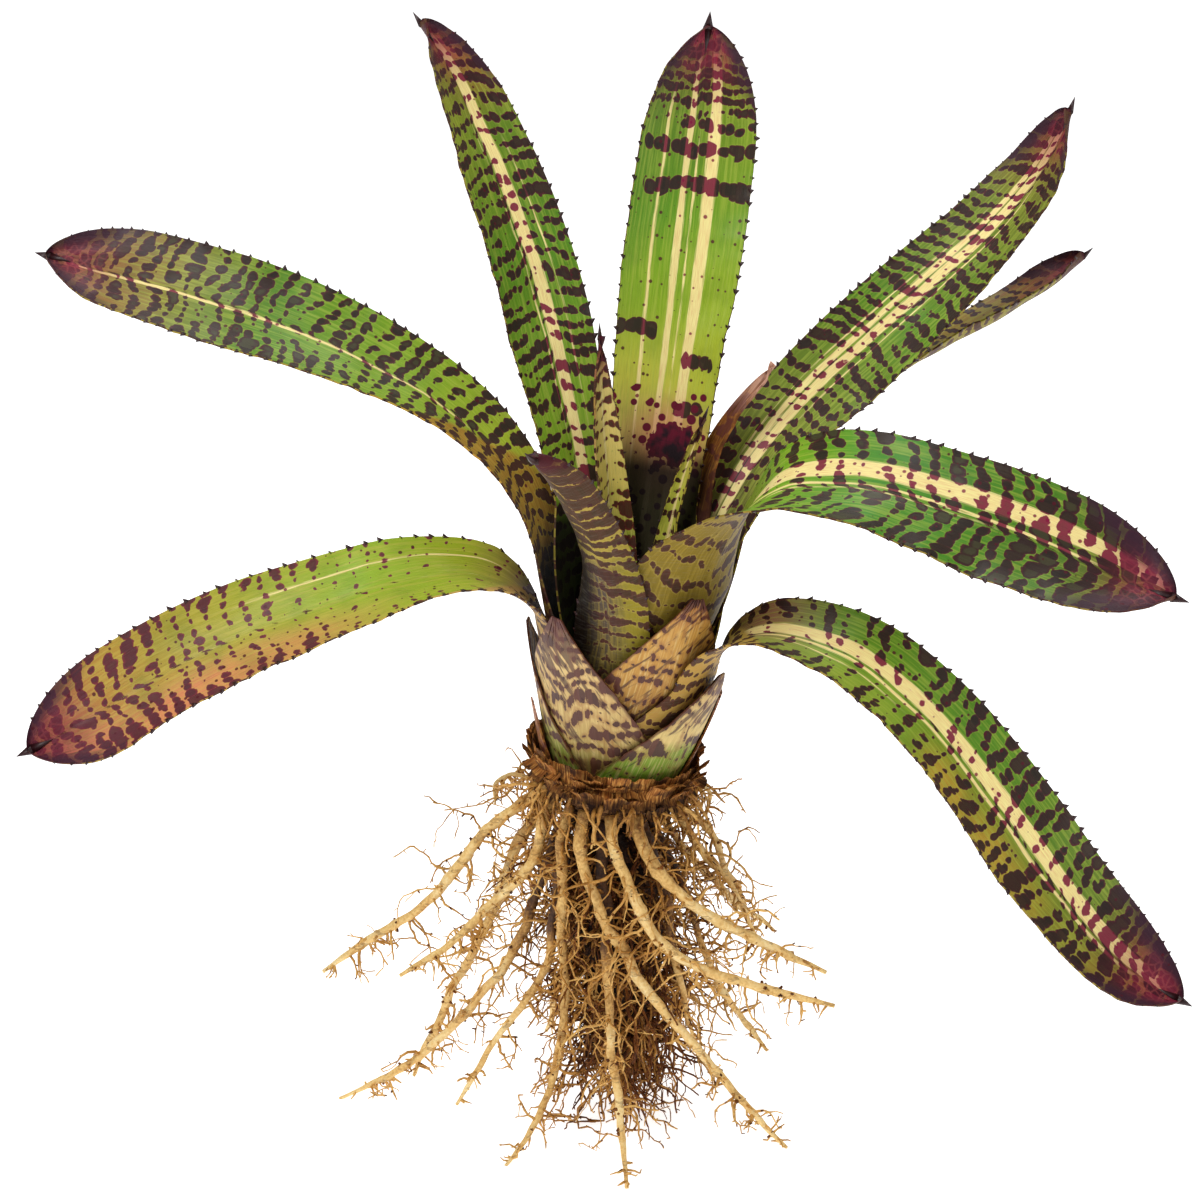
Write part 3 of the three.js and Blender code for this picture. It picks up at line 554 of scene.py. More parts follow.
def leaf_skin(name, leaf, look, phase):
    """The upper face: green ground with fine veins, cream stripes, and dark cross bars that turn magenta on
    the cream. The tip is crimson, with the bars run together into a net."""
    skin = Skin(name, {"Coat Roughness": 0.3, "Specular IOR Level": 0.22})
    place, share = skin.read("place"), skin.read("share")
    across, along = skin.part(place, "X"), skin.part(place, "Y")
    u, t = skin.part(share, "X"), skin.part(share, "Y")
    half = leaf["width"] / 2
    lines = skin.vector(u * half, along * 0.035, phase)
    veins = skin.grain(lines, 1.1, 3)
    fine = skin.grain(lines, 4.0, 2)
    mottle = skin.grain(place, 0.05, 3)

    # Ground, veins and stripes. Where the blade is turned over near its neck the ground is straw.
    colour = skin.ramp(t, look["ground"], FOOT_SHARE)
    colour = tint_sides(skin, colour, u, t, look.get("sides", ()))
    colour = skin.mix(veins.rises(0.42, 0.66) * 0.4, colour, look.get("vein", paint(176, 190, 74)))
    colour = skin.mix(fine.rises(0.5, 0.72) * 0.25, colour, paint(44, 84, 14))
    colour = skin.mix(mottle.rises(0.45, 0.75) * 0.35, colour, paint(66, 108, 18))
    sign, slope, offset, tint = look.get("turned", (1, 1, -9, GOLD))
    turned = (u * sign - t * slope + offset).rises(-0.15, 0.15)
    colour = skin.mix(turned, colour, skin.mix(veins.rises(0.45, 0.65) * 0.6, tint, GOLD))
    ragged = (veins - 0.5) * 2.2 + (fine - 0.5) * 0.9
    cream = cream_stripes(u, t, half, ragged, look["cream"]) * (1 - turned)
    colour = skin.mix(cream, colour, skin.mix(fine.rises(0.4, 0.7), CREAM, paint(232, 196, 130)))

    # Bars, with a faint pale rim, and on some leaves a few bold bands.
    strength = skin.level(t, look["bars"], FOOT_SHARE) - cream * look.get("cream_clears", 0.3)
    strength = strength + u * u * look.get("margin_bars", 0.25) * (1 - turned)
    strength = strength + turned * look.get("turned_bars", 0.2)
    depth, own = tiger_bars(skin, place, strength, look.get("pitch", 6.2), phase, look.get("lean", 0.22))
    for place_along, thick, start, end in look.get("bands", ()):
        inside = u.rises(start - 0.08, start + 0.08) * (1 - u.rises(end - 0.08, end + 0.08))
        off = along + (mottle - 0.5) * 10 - place_along * leaf["length"]
        depth = depth.most(blotches(skin, across, off, inside * (thick + 2) - 2, place_along * 90, 3.6)[0])
    bars = depth.rises(-0.1, 0.15)
    colour = skin.mix(depth.rises(-0.6, -0.1) * 0.16, colour, skin.mix(cream, RIM, paint(244, 196, 180)))
    tip = t.rises(0.8, 0.96)
    colour = skin.mix(tip * 0.6, colour, look.get("tip", paint(126, 74, 42)))
    dark = skin.mix(depth.rises(0.0, 0.8) * (1 - own * 0.25), *look.get("marks", (PLUM, DARK)))
    eyes = depth.rises(0.9, 1.7) * own.rises(0.55, 0.85) * look.get("eyes", 0.12)
    dark = skin.mix(eyes, dark, paint(70, 78, 48))
    dark = skin.mix(cream * (0.9 - eyes * 0.5), dark, MAGENTA)
    dark = skin.mix(tip * 0.25, dark, paint(84, 10, 30))
    dark = skin.mix(turned, dark, paint(64, 34, 32))
    colour = skin.mix(bars * 0.96, colour, dark)

    # Dark margin at the tip, the net, the small dots, the throat and the painted shade down in the cup.
    edge = (t * 6 + abs(u) * 1.4 + (veins - 0.5) * 0.9 - look.get("tip_edge", 6.35)).rises(-0.2, 0.4)
    colour = skin.mix(edge * 0.8, colour, paint(58, 32, 48))
    apex = t.rises(0.86, 0.96) * (1 - abs(u).rises(0.3, 0.9)) * (0.7 + veins.rises(0.44, 0.54) * 0.3)
    net = netted_tip(skin, place, own, veins, cream * (1 - bars), look.get("net", 0.2))
    colour = skin.mix(apex * look.get("apex", 0.75), colour, net)
    flecks = dots(skin, place, 4.2, 0.75, look.get("dots", 0.3))
    colour = skin.mix(flecks * 0.9, colour, skin.mix(cream, paint(78, 10, 30), MAGENTA))
    if "throat" in look:
        colour = throat_marks(skin, colour, place, t, own, bars, leaf["length"], look["throat"])
    # Painted shade: below the share `shade` the upper face goes near black where the cup lies in shadow;
    # `turned_clears` spares the turned part.
    shadow = look.get("shade", 0.04)
    cup_shade = 1 - (t + turned * look.get("turned_clears", 0.0)).rises(shadow - 0.09, shadow)
    colour = skin.mix(cup_shade * 0.96, colour, paint(18, 9, 8))
    dull = turned.most(cup_shade)
    skin.feed(skin.shader.inputs["Coat Weight"], (1 - dull) * 0.1)
    roughness = 0.34 + fine * 0.14 + mottle * 0.08 + dull * 0.3
    skin.finish(colour, roughness, fine * 0.5 + veins * 0.6 - bars * 0.3, 0.0003)
    return skin


def underside_skin(name, leaf, look, phase):
    """The lower face: dull olive and straw under a thin grey scurf, with purple-brown tiger bars."""
    skin = Skin(name, {"Specular IOR Level": 0.12})
    place, share = skin.read("place"), skin.read("share")
    u, t = skin.part(share, "X"), skin.part(share, "Y")
    lines = skin.vector(u * (leaf["width"] / 2), skin.part(place, "Y") * 0.035, phase)
    veins = skin.grain(lines, 1.4, 3)
    fine = skin.grain(lines, 4.5, 2)
    scurf = skin.grain(skin.vector_maths("MULTIPLY", place, (0.25, 1.6, 1.0)), 0.9, 3)
    olive = [(-0.4, paint(124, 112, 40)), (0.2, paint(140, 124, 46)), (1, paint(112, 112, 40))]
    colour = skin.ramp(t, look.get("under", olive), FOOT_SHARE)
    colour = skin.mix(veins.rises(0.45, 0.65) * 0.35, colour, paint(176, 150, 64))
    colour = tint_sides(skin, colour, u, t, look.get("under_sides", ()))
    strength = skin.level(t, look.get("under_bars", [(-0.4, 0.5), (1, 0.6)]), FOOT_SHARE)
    depth, own = tiger_bars(skin, place, strength, look.get("under_pitch", 5.6), phase + 31,
                            look.get("under_lean", 0.1), 16.0, look.get("under_spacing", 0.47))
    colour = skin.mix(depth.rises(-0.8, -0.1) * 0.25, colour, paint(190, 168, 84))
    dark = skin.mix(depth.rises(0.0, 1.2) * (1 - own * 0.5), paint(78, 36, 40), paint(48, 27, 30))
    colour = skin.mix(depth.rises(-0.1, 0.15) * 0.92, colour, dark)
    flecks = dots(skin, place, 4.4, 1.0, look.get("under_dots", 0.16))
    colour = skin.mix(flecks * 0.85, colour, paint(62, 26, 34))
    # Painted shadow: the lower face goes near black towards its minus side, as strongly as `under_shadow`
    # gives along the leaf.
    if "under_shadow" in look:
        side_shadow = (1 - u.rises(-0.7, 0.0)) * skin.level(t, look["under_shadow"])
        colour = skin.mix(side_shadow, colour, paint(20, 13, 10))
    colour = skin.mix(scurf.rises(0.45, 0.8) * 0.12, colour, paint(150, 146, 132))
    colour = skin.mix(t.rises(0.88, 0.95) * 0.85, colour, paint(76, 30, 38))
    skin.finish(colour, 0.48 + fine * 0.15, fine * 0.5 + scurf * 0.5 + veins * 0.4, 0.0003)
    return skin


GREEN = paint(82, 130, 28)
LIGHT_GREEN = paint(128, 164, 40)
YELLOW_GREEN = paint(152, 168, 40)
OLIVE = paint(128, 118, 40)
GOLD = paint(184, 150, 60)
LOOKS = {
    "leaf_a": dict(
        eyes=0.4,
        net=0.4,
        ground=[(-0.4, OLIVE), (0.05, GOLD), (0.16, YELLOW_GREEN), (0.35, LIGHT_GREEN), (0.6, GREEN),
                (0.72, paint(118, 130, 46)), (0.84, paint(144, 112, 56))],
        cream=[(0.04, 0.55, 0.2, 1.04)],
        bars=[(-0.4, 0.5), (0.05, 0.42), (0.3, 0.46), (0.5, 0.36), (0.7, 0.5), (0.86, 0.7), (1, 0.95)],
        pitch=6.6,
        shade=0.03,
        turned=(1, 8, 1.6, paint(150, 112, 40)),
        turned_bars=0.1,
        under=[(-0.4, paint(78, 56, 32)), (0.0, paint(96, 74, 40)), (0.12, paint(186, 134, 50)),
               (0.5, paint(150, 130, 50))],
        under_bars=[(-0.4, 0.8), (0.0, 0.8), (0.14, 0.5), (0.4, 0.55)],
    ),
    "leaf_b": dict(
        net=0.4,
        ground=[(-0.4, OLIVE), (0.06, paint(150, 128, 70)), (0.16, YELLOW_GREEN), (0.35, paint(146, 178, 44)),
                (0.6, paint(164, 160, 52)), (0.85, paint(176, 128, 60)), (0.97, paint(140, 76, 56))],
        sides=[(1, paint(216, 134, 92), [(0.25, 0.0), (0.45, 0.7), (0.7, 1), (1, 0.7)])],
        cream=[(-0.55, 0.2, 0.05, 0.6), (0.0, -0.3, 0.1, 0.7)],
        vein=paint(196, 180, 80),
        marks=(paint(122, 34, 56), paint(76, 30, 48)),
        turned=(1, 13.8, 1.08, paint(172, 136, 84)),
        turned_bars=0.6,
        turned_clears=0.3,
        shade=0.07,
        apex=0.45,
        bars=[(-0.4, 0.5), (0.03, 0.0), (0.12, -0.75), (0.35, -0.5), (0.55, -0.1), (0.75, 0.25), (0.9, 0.5),
              (1, 0.8)],
        margin_bars=0.8,
        pitch=6.4,
        tip=paint(160, 70, 70),
        dots=0.35,
        under=[(-0.4, paint(86, 70, 44)), (0.03, paint(180, 140, 84)), (0.4, paint(180, 150, 74))],
        under_bars=[(-0.4, 0.6), (0.02, 0.75), (0.2, 0.5), (1, 0.6)],
        under_pitch=4.4,
    ),
    "leaf_c": dict(
        ground=[(-0.4, LIGHT_GREEN), (0.1, LIGHT_GREEN), (0.5, GREEN), (0.76, paint(104, 130, 36)),
                (0.86, paint(136, 112, 44)), (0.95, paint(174, 96, 58))],
        sides=[(1, paint(150, 160, 40), [(0.5, 0.0), (0.8, 0.6), (1, 0.3)])],
        cream=[(-0.15, 2.4, -0.2, 1.0), (0.06, 0.15, 0.1, 0.8), (-0.5, 0.12, 0.1, 0.75)],
        bars=[(-0.4, 0.35), (0.0, 0.4), (0.4, 0.42), (0.8, 0.42), (0.95, 0.7)],
        cream_clears=0.15,
        dots=0.35,
    ),
    "leaf_d": dict(
        ground=[(-0.4, paint(186, 170, 90)), (0.1, paint(212, 186, 104)), (0.25, paint(196, 192, 70)),
                (0.4, paint(138, 170, 36)), (0.6, paint(96, 146, 30)), (0.9, paint(94, 118, 34))],
        sides=[(-1, paint(168, 180, 44), [(0.3, 0.5), (0.6, 0.15), (0.9, 0.3)])],
        cream=[(0.52, 0.55, -0.2, 0.9), (0.1, 1.2, -0.2, 0.97), (-0.08, 0.15, 0.1, 0.8),
               (-0.32, 2.2, -0.2, 0.97)],
        bars=[(-0.4, -2), (0.78, -2), (0.815, 0.1), (0.84, 0.8), (0.93, 1.0), (1, 1.2)],
        bands=[(0.664, 3.4, -1.1, 0.86), (0.746, 3.1, -1.1, 0.95), (0.797, 2.2, -1.1, 0.3),
               (0.357, 3.0, 0.22, 1.1), (0.3, 3.0, -0.86, -0.22), (0.2, 2.8, -0.8, -0.15)],
        lean=0.05,
        pitch=4.4,
        margin_bars=0.0,
        throat=(0.24, 0.115, -4.0),
        shade=0.15,
        apex=1.0,
        dots=0.5,
    ),
    "leaf_e": dict(
        ground=[(-0.4, paint(90, 84, 36)), (0.05, paint(96, 92, 40)), (0.25, paint(112, 128, 40)),
                (0.5, GREEN), (0.9, paint(120, 116, 44))],
        cream=[(0.3, 1.2, -0.1, 1.0), (0.1, 1.9, -0.1, 1.02), (-0.12, 0.2, 0.2, 0.9), (0.45, 0.15, 0.1, 0.8)],
        bars=[(-0.4, 0.5), (0.0, 0.5), (0.4, 0.38), (0.8, 0.42), (0.95, 0.75)],
        margin_bars=0.55,
    ),
    "leaf_f": dict(
        ground=[(-0.4, OLIVE), (0.3, paint(152, 142, 46)), (0.75, paint(160, 124, 52)),
                (0.95, paint(150, 56, 56))],
        cream=[(0.0, 0.4, 0.2, 0.8)],
        bars=[(-0.4, 0.4), (0.5, 0.3), (0.8, 0.4), (1, 0.7)],
    ),
    "leaf_g": dict(
        eyes=0.4,
        net=0.4,
        ground=[(-0.4, OLIVE), (0.1, paint(112, 124, 36)), (0.25, paint(118, 166, 34)),
                (0.45, paint(66, 134, 32)), (0.75, paint(76, 124, 34)), (0.93, paint(92, 84, 40))],
        cream=[(0.36, 3.2, 0.08, 1.04), (0.08, 0.4, 0.1, 0.9), (0.0, 0.1, 0.1, 0.7)],
        bars=[(-0.4, 0.1), (0.1, -0.6), (0.22, -0.2), (0.3, 0.3), (0.5, 0.45), (0.7, 0.7), (0.85, 1.0),
              (1, 1.3)],
        margin_bars=0.3,
        pitch=7.8,
        lean=0.35,
        tip_edge=6.0,
        dots=0.4,
        under=[(-0.4, paint(112, 98, 36)), (0.0, paint(130, 110, 40)), (0.3, paint(126, 106, 44))],
        under_bars=[(-0.4, 0.4), (0.0, 0.35), (0.3, 0.4)],
        under_pitch=8.5,
        under_lean=-0.35,
        under_spacing=0.36,
    ),
    "leaf_h": dict(
        net=0.4,
        ground=[(-0.4, OLIVE), (0.05, paint(104, 64, 44)), (0.14, paint(150, 104, 80)),
                (0.24, paint(96, 138, 34)), (0.5, GREEN), (0.8, paint(98, 122, 38)),
                (0.93, paint(108, 78, 44))],
        sides=[(-1, paint(186, 146, 52), [(0.4, 0.0), (0.48, 0.95), (0.62, 0.95), (0.8, 0.4)]),
               (-1, paint(146, 168, 54), [(0.1, 0.8), (0.36, 0.8), (0.45, 0.0)])],
        cream=[(0.16, 2.9, 0.03, 1.03), (-0.1, 0.7, 0.06, 0.95), (-0.3, 0.2, 0.06, 0.4)],
        bars=[(-0.4, 0.5), (0.1, 0.1), (0.3, -0.1), (0.45, 0.1), (0.6, 0.3), (0.75, 0.5), (0.9, 0.9),
              (1, 1.1)],
        margin_bars=0.7,
        cream_clears=0.2,
        pitch=7.0,
        turned=(-1, 19.3, 2.28, paint(190, 158, 78)),
        turned_bars=0.6,
        tip_edge=6.2,
        under=[(-0.4, paint(96, 76, 40)), (0.02, paint(180, 140, 72)), (0.3, paint(140, 120, 50))],
        under_bars=[(-0.4, 0.5), (0.0, 0.7), (0.2, 0.6), (1, 0.6)],
        under_pitch=6.0,
    ),
    "leaf_i": dict(
        ground=[(-0.4, OLIVE), (0.6, GREEN)],
        cream=[(0.0, 1.2, 0.0, 0.9)],
        bars=[(-0.4, 0.5), (0.6, 0.7), (1, 1.0)],
        under=[(-0.4, paint(84, 76, 34)), (0.0, paint(80, 68, 54)), (0.36, paint(80, 68, 62)),
               (0.43, paint(156, 138, 60)), (0.9, paint(150, 124, 54)), (1, paint(80, 30, 36))],
        under_sides=[(1, paint(142, 128, 38), [(-0.3, 0.9), (0.2, 1), (0.35, 0.9), (0.5, 0.0)])],
        under_shadow=[(-0.3, 0.97), (0.3, 0.95), (0.5, 0.6), (0.75, 0.0)],
        under_bars=[(-0.4, 0.0), (0.0, 0.1), (0.22, 0.15), (0.3, 0.6), (0.36, 1.1), (0.42, 0.4), (0.5, 1.2),
                    (0.75, 1.5), (0.9, 1.6), (1, 2)],
        under_dots=0.5,
        under_pitch=6.2,
        under_spacing=0.26,
        under_lean=0.2,
    ),
}

spine_skin = Skin("spine_horn", {"Base Color": paint(46, 12, 18), "Roughness": 0.45})

for number, (name, leaf) in enumerate(LEAVES.items()):
    draw = random.Random(40 + number)
    mesh, blade = leaf_mesh(leaf, columns=26, row_gap=1.35, draw=draw)
    add_spines(mesh, leaf, blade, gap=5.6, base=1.0, length=1.5, draw=draw)
    upper = leaf_skin(name + "_upper", leaf, LOOKS[name], 13.0 * number)
    lower = underside_skin(name + "_lower", leaf, LOOKS[name], 13.0 * number)
    add_piece("grown_" + name, mesh, rosette_to_world, (upper, lower, spine_skin), name)

# ---- Cup leaves ----
# Two young leaves and a withered bract that stand in the cup. The young ones narrow all the way to a soft
# point; the bract has dried to a thin brown blade with a pale tip.
CUP_LEAVES = {
    "inner_leaf_j": dict(level=0, az=115, head=172, neck=62, length=96, width=24, hold=28, fold=40,
                         taper=0.75, elev=(84, 81, 79, 82), roll=(0, -28, -55, -60)),
    "inner_leaf_k": dict(level=0, az=66, head=12, neck=62, length=70, width=12, hold=14, fold=50,
                         taper=0.7, elev=(88, 86, 80, 76), roll=(0, 30, 52, 54)),
    "bract_l": dict(level=2, az=56, head=16, neck=92, length=64, width=14, hold=85, fold=40, taper=0.7,
                    elev=(82, 74, 61, 51), roll=(0, 20, 35)),
}
CUP_LOOKS = {
    "inner_leaf_j": dict(
        ground=[(-0.4, GREEN), (0.2, paint(130, 150, 32)), (0.34, paint(238, 214, 104)),
                (0.8, paint(240, 212, 130)), (0.92, paint(176, 112, 76)), (1, paint(104, 60, 40))],
        cream=[(0.0, 0.6, 0.15, 0.85)],
        vein=paint(240, 220, 130),
        bars=[(-0.4, 0.6), (0.2, 0.9), (0.3, 0.6), (0.4, -0.1), (0.7, -0.1), (0.84, 0.5), (1, 0.6)],
        marks=(paint(112, 26, 40), paint(58, 16, 30)),
        cream_clears=0.1,
        margin_bars=0.8,
        dots=0.35,
        pitch=5.0,
        under=[(-0.4, paint(150, 150, 60)), (0.3, paint(216, 190, 100)), (0.8, paint(150, 96, 66))],
    ),
    "inner_leaf_k": dict(
        ground=[(-0.4, paint(190, 186, 70)), (0.6, paint(206, 200, 80)), (1, paint(190, 150, 80))],
        cream=[(0.0, 0.8, 0.1, 0.9)],
        bars=[(-0.4, 0.5), (0.1, 0.5), (0.4, 0.35), (0.7, 0.1), (1, 0.2)],
        dots=0.35,
        pitch=5.0,
        under=[(-0.4, paint(170, 160, 50)), (1, paint(190, 170, 70))],
    ),
}


def dead_fibre(skin, place, squash, fibre_scale, stain_scale, phase):
    """The fibres of a dead leaf, drawn out along it, and its larger stains."""
    lines = skin.vector_maths("MULTIPLY", place, (1.0, squash, 1.0))
    fibre = skin.grain(skin.vector_maths("ADD", lines, (phase, 0, phase)), fibre_scale, 4)
    stain = skin.grain(skin.vector_maths("ADD", place, (phase, phase, 0)), stain_scale, 3)
    return fibre, stain


def bract_skin(name, phase, base):
    """Dry leaf: brown fibres, dark up to the share `base` of its length, bleached and pinkish at the tip."""
    skin = Skin(name, {"Specular IOR Level": 0.3})
    fibre, stain = dead_fibre(skin, skin.read("place"), 0.05, 1.6, 0.14, phase)
    ends = skin.part(skin.read("share"), "Y")
    tones = [(0.3, paint(74, 36, 12)), (0.5, paint(140, 84, 30)), (0.7, paint(190, 136, 62))]
    colour = skin.ramp(fibre, tones)
    colour = skin.mix(stain.rises(0.45, 0.7) * 0.6, colour, paint(84, 42, 24))
    colour = skin.mix((1 - stain).rises(0.5, 0.58) * fibre.rises(0.36, 0.48) * 0.8, colour, paint(84, 32, 40))
    colour = skin.mix((1 - ends.rises(base, base + 0.3)) * 0.75, colour, paint(52, 24, 18))
    colour = skin.mix(ends.rises(0.6, 0.95) * fibre.rises(0.3, 0.6) * 0.8, colour, paint(222, 172, 152))
    skin.finish(colour, 0.62 + fibre * 0.2, fibre + stain * 0.4, 0.0004)
    return skin


for number, (name, leaf) in enumerate(CUP_LEAVES.items()):
    draw = random.Random(60 + number)
    mesh, blade = leaf_mesh(leaf, columns=18, row_gap=1.2, draw=draw)
    if name in CUP_LOOKS:
        add_spines(mesh, leaf, blade, gap=4.6, base=0.5, length=1.2, draw=draw)
        phase = 7.0 * number + 150
        upper = leaf_skin(name + "_upper", leaf, CUP_LOOKS[name], phase)
        lower = underside_skin(name + "_lower", leaf, CUP_LOOKS[name], phase)
        add_piece("grown_" + name, mesh, rosette_to_world, (upper, lower, spine_skin), name)
    else:
        dry = bract_skin(name + "_dry", 5.0 * number, base=0.1)
        add_piece("withered_" + name, mesh, rosette_to_world, (dry, dry), name)

# ---- Old sheaths ----
# Four leaf bases whose blades have rotted off, wrapped over the foot of the bundle and held by their own
# clasp. They are tan and fibrous, with smeared purple marks, a brown margin and a green foot.
OLD_SHEATHS = {
    "sheath_n": dict(level=9, az=-61, top=83, hold=100),
    "sheath_m": dict(level=12, az=-134, top=68, hold=96),
    "sheath_r": dict(level=13, az=172, top=54, hold=74),
    "sheath_p": dict(level=14, az=-30, top=50, hold=92),
}
TORN_HALF_ANGLE = 0.06  # half the width of a torn top, in radians
SHEATH_LOOKS = {
    "sheath_n": dict(
        ground=[(0, paint(120, 92, 40)), (0.5, paint(176, 128, 56)), (0.8, paint(196, 146, 66)),
                (1, paint(150, 84, 40))],
        marks=[(0.2, 0.0), (0.6, 0.1), (0.8, -0.2), (1, 0.3)],
        smears=[(0.0, 0.5), (0.5, 0.42), (0.8, 0.4), (1, 0.6)],
        foot=0.05,
        lean=-1,
    ),
    "sheath_m": dict(
        ground=[(0, paint(120, 120, 46)), (0.3, paint(178, 150, 88)), (0.75, paint(208, 176, 116)),
                (1, paint(130, 70, 62))],
        marks=[(0.15, 0.3), (0.4, 0.35), (0.55, 0.35), (1, 0.4)],
        smears=[(0.0, 0.45), (0.4, 0.4), (0.6, 0.5), (0.8, 0.55), (1, 0.66)],
        foot=0.2,
        lean=1,
    ),
    "sheath_r": dict(
        ground=[(0, paint(94, 124, 34)), (0.3, paint(150, 150, 70)), (0.5, paint(196, 160, 104)),
                (1, paint(186, 140, 84))],
        marks=[(0.1, -0.1), (0.5, 0.3), (1, 0.5)],
        smears=[(0.0, 0.4), (1, 0.5)],
        foot=0.1,
        lean=1,
    ),
    "sheath_p": dict(
        ground=[(0, paint(90, 132, 26)), (0.34, paint(120, 146, 40)), (0.46, paint(206, 180, 110)),
                (1, paint(196, 160, 104))],
        marks=[(0.1, -0.6), (0.28, -0.4), (0.36, 1.0), (0.44, 0.6), (0.52, -0.4), (0.7, 0.1), (1, 0.4)],
        smears=[(0.0, 0.36), (0.5, 0.38), (0.66, 0.55), (0.8, 0.45), (1, 0.6)],
        foot=0.1,
        lean=-1,
    ),
}


def sheath_mesh(sheath, columns, rows, torn, draw):
    """A sheath without its blade. 'share' is -1 to 1 across and 0 to 1 from its foot to its torn top."""
    foot = sheath_foot(sheath["level"])
    tear = draw.uniform(0, 100)

    def shape(u, q):
        jag = noise.noise(Vector((u * 9, tear, 0))) + 0.5 * noise.noise(Vector((u * 27, tear, 0)))
        rise = q * (1 - torn * max(0.0, jag) * 0.5)
        half = sheath_half_angle(sheath, rise, TORN_HALF_ANGLE)
        ragged = noise.noise(Vector((rise * 14, tear, u))) + 0.5 * noise.noise(Vector((rise * 40, tear, u)))
        half *= 1 - 0.06 * torn * (0.5 + ragged) * abs(u)
        height = foot + rise * (sheath["top"] - foot)
        point, normal = on_sheath(sheath, height, half * u)
        across = half * u * sheath_radius(sheath["level"], height)
        lift = noise.noise(Vector((across / 9, height / 14, tear)))
        point = point - normal * 0.22 * (1 + lift) * smooth(rise * 3)
        return point, normal, Vector((across, height - foot, 0)), Vector((u, rise, 0))

    mesh = bmesh.new()
    lay_sheet(mesh, columns, rows, BLADE_THICKNESS, shape)
    return mesh


def sheath_skin(name, look, phase):
    """Old sheath: tan fibre with broken bars, and purple smears that slant the way `lean` says."""
    skin = Skin(name, {"Specular IOR Level": 0.4})
    place, share = skin.read("place"), skin.read("share")
    u, rise = skin.part(share, "X"), skin.part(share, "Y")
    fibre, stain = dead_fibre(skin, place, 0.06, 1.3, 0.12, phase)
    colour = skin.ramp(rise, look["ground"])
    colour = skin.mix(fibre.rises(0.45, 0.68) * 0.45, colour, paint(226, 200, 134))
    colour = skin.mix((1 - fibre).rises(0.56, 0.76) * 0.5, colour, paint(128, 78, 36))
    colour = skin.mix(stain.rises(0.5, 0.75) * 0.4, colour, paint(160, 106, 60))
    strength = skin.level(rise, look["marks"]) + u * u * 0.2
    depth, own = tiger_bars(skin, place, strength, 6.0, phase, -0.3, 24.0)
    depth = depth + (fibre - 0.5) * 1.6
    aside, height = skin.part(place, "X") * look["lean"], skin.part(place, "Y")
    slant = skin.vector(aside * 0.21 + height * 0.18, aside * 0.03 - height * 0.035 + phase)
    flow = skin.grain(slant, 1.6, 4)
    smear = (flow - 1 + skin.level(rise, look["smears"])).rises(-0.04, 0.06)
    bars = depth.rises(-0.1, 0.2).most(smear * 0.85)
    colour = skin.mix(depth.rises(-1.2, -0.1) * 0.4, colour, paint(140, 84, 46))
    colour = skin.mix(bars * 0.92, colour, skin.mix(own * 0.6, paint(52, 22, 30), paint(96, 44, 40)))
    colour = skin.mix(dots(skin, place, 3.6, 0.6, 0.3) * 0.8, colour, paint(60, 26, 24))
    colour = skin.mix(abs(u).rises(0.93, 0.995) * 0.8, colour, paint(84, 42, 22))
    foot = (1 - rise.rises(0.0, look["foot"])) * stain.rises(0.3, 0.5)
    colour = skin.mix(foot * 0.6, colour, paint(98, 70, 36))
    skin.finish(colour, 0.5 + fibre * 0.18, fibre + stain * 0.4 - bars * 0.2, 0.00035)
    return skin


for number, (name, sheath) in enumerate(OLD_SHEATHS.items()):
    mesh = sheath_mesh(sheath, columns=60, rows=60, torn=0.6, draw=random.Random(80 + number))
    outer = sheath_skin(name + "_skin", SHEATH_LOOKS[name], 9.0 * number + 3)
    add_piece("old_" + name, mesh, rosette_to_world, (outer, outer), name)

# ---- Dry bracts ----
# Two small scales at the foot of the bundle, dried to plain orange-brown fibre and torn along the top.
DRY_BRACTS = {
    "dry_bract_q": dict(level=15, az=2, top=36, hold=40),
    "dry_bract_s": dict(level=15, az=188, top=27, hold=32),
}

for number, (name, bract) in enumerate(DRY_BRACTS.items()):
    mesh = sheath_mesh(bract, columns=40, rows=40, torn=1.0, draw=random.Random(90 + number))
    dry = bract_skin(name + "_dry", 11.0 * number + 30, base=-0.3)
    add_piece("torn_" + name, mesh, rosette_to_world, (dry, dry), name)

# ---- Papery collar ----
# The rotted bases of the oldest leaves: a ring round the root crown, with brown papery scales that have
# come loose from it and curl outwards. They still hang on the ring by their feet.
COLLAR_RADIUS = BUNDLE_RADIUS + SHEATH_PITCH
COLLAR_LOW = -5.0
COLLAR_HIGH = 10.0
SCALES = 76


def collar_radius(height):
    return COLLAR_RADIUS + (BUNDLE_SLOPE * height if height > 0 else 0.3 * max(0.0, -4 - height))


def paper_sheet(mesh, turn, width, low, high, lift, curl, ragged, tear, columns, rows):
    """A patch of dead leaf base on the ring: lift is its distance off it, curl how far its edge bends out and
    ragged how deep its lower edge is torn."""

    def shape(u, q):
        angle = turn + u * width / COLLAR_RADIUS / 2
        out = Vector((math.cos(angle), math.sin(angle), 0))
        jag = noise.noise(out * 7 + Vector((0, 0, tear))) + 0.6 * noise.noise(out * 21 + Vector((0, 0, tear)))
        height = low + (high - low) * q
        height += jag * (ragged * (1 - q) + 1.9 * q)
        crease = noise.noise(out * 5.5 + Vector((0, 0, height / 6 + tear)))
        crease += 0.6 * noise.noise(out * 19 + Vector((tear, 0, height / 3)))
        r = collar_radius(height) + lift + curl * q ** 2 + 0.6 * crease
        point = out * r + Vector((0, 0, height))
        return point, -out, Vector((u * width / 2 + tear, height, 0)), Vector((u, q, 0))

    lay_sheet(mesh, columns, rows, 0.45, shape)


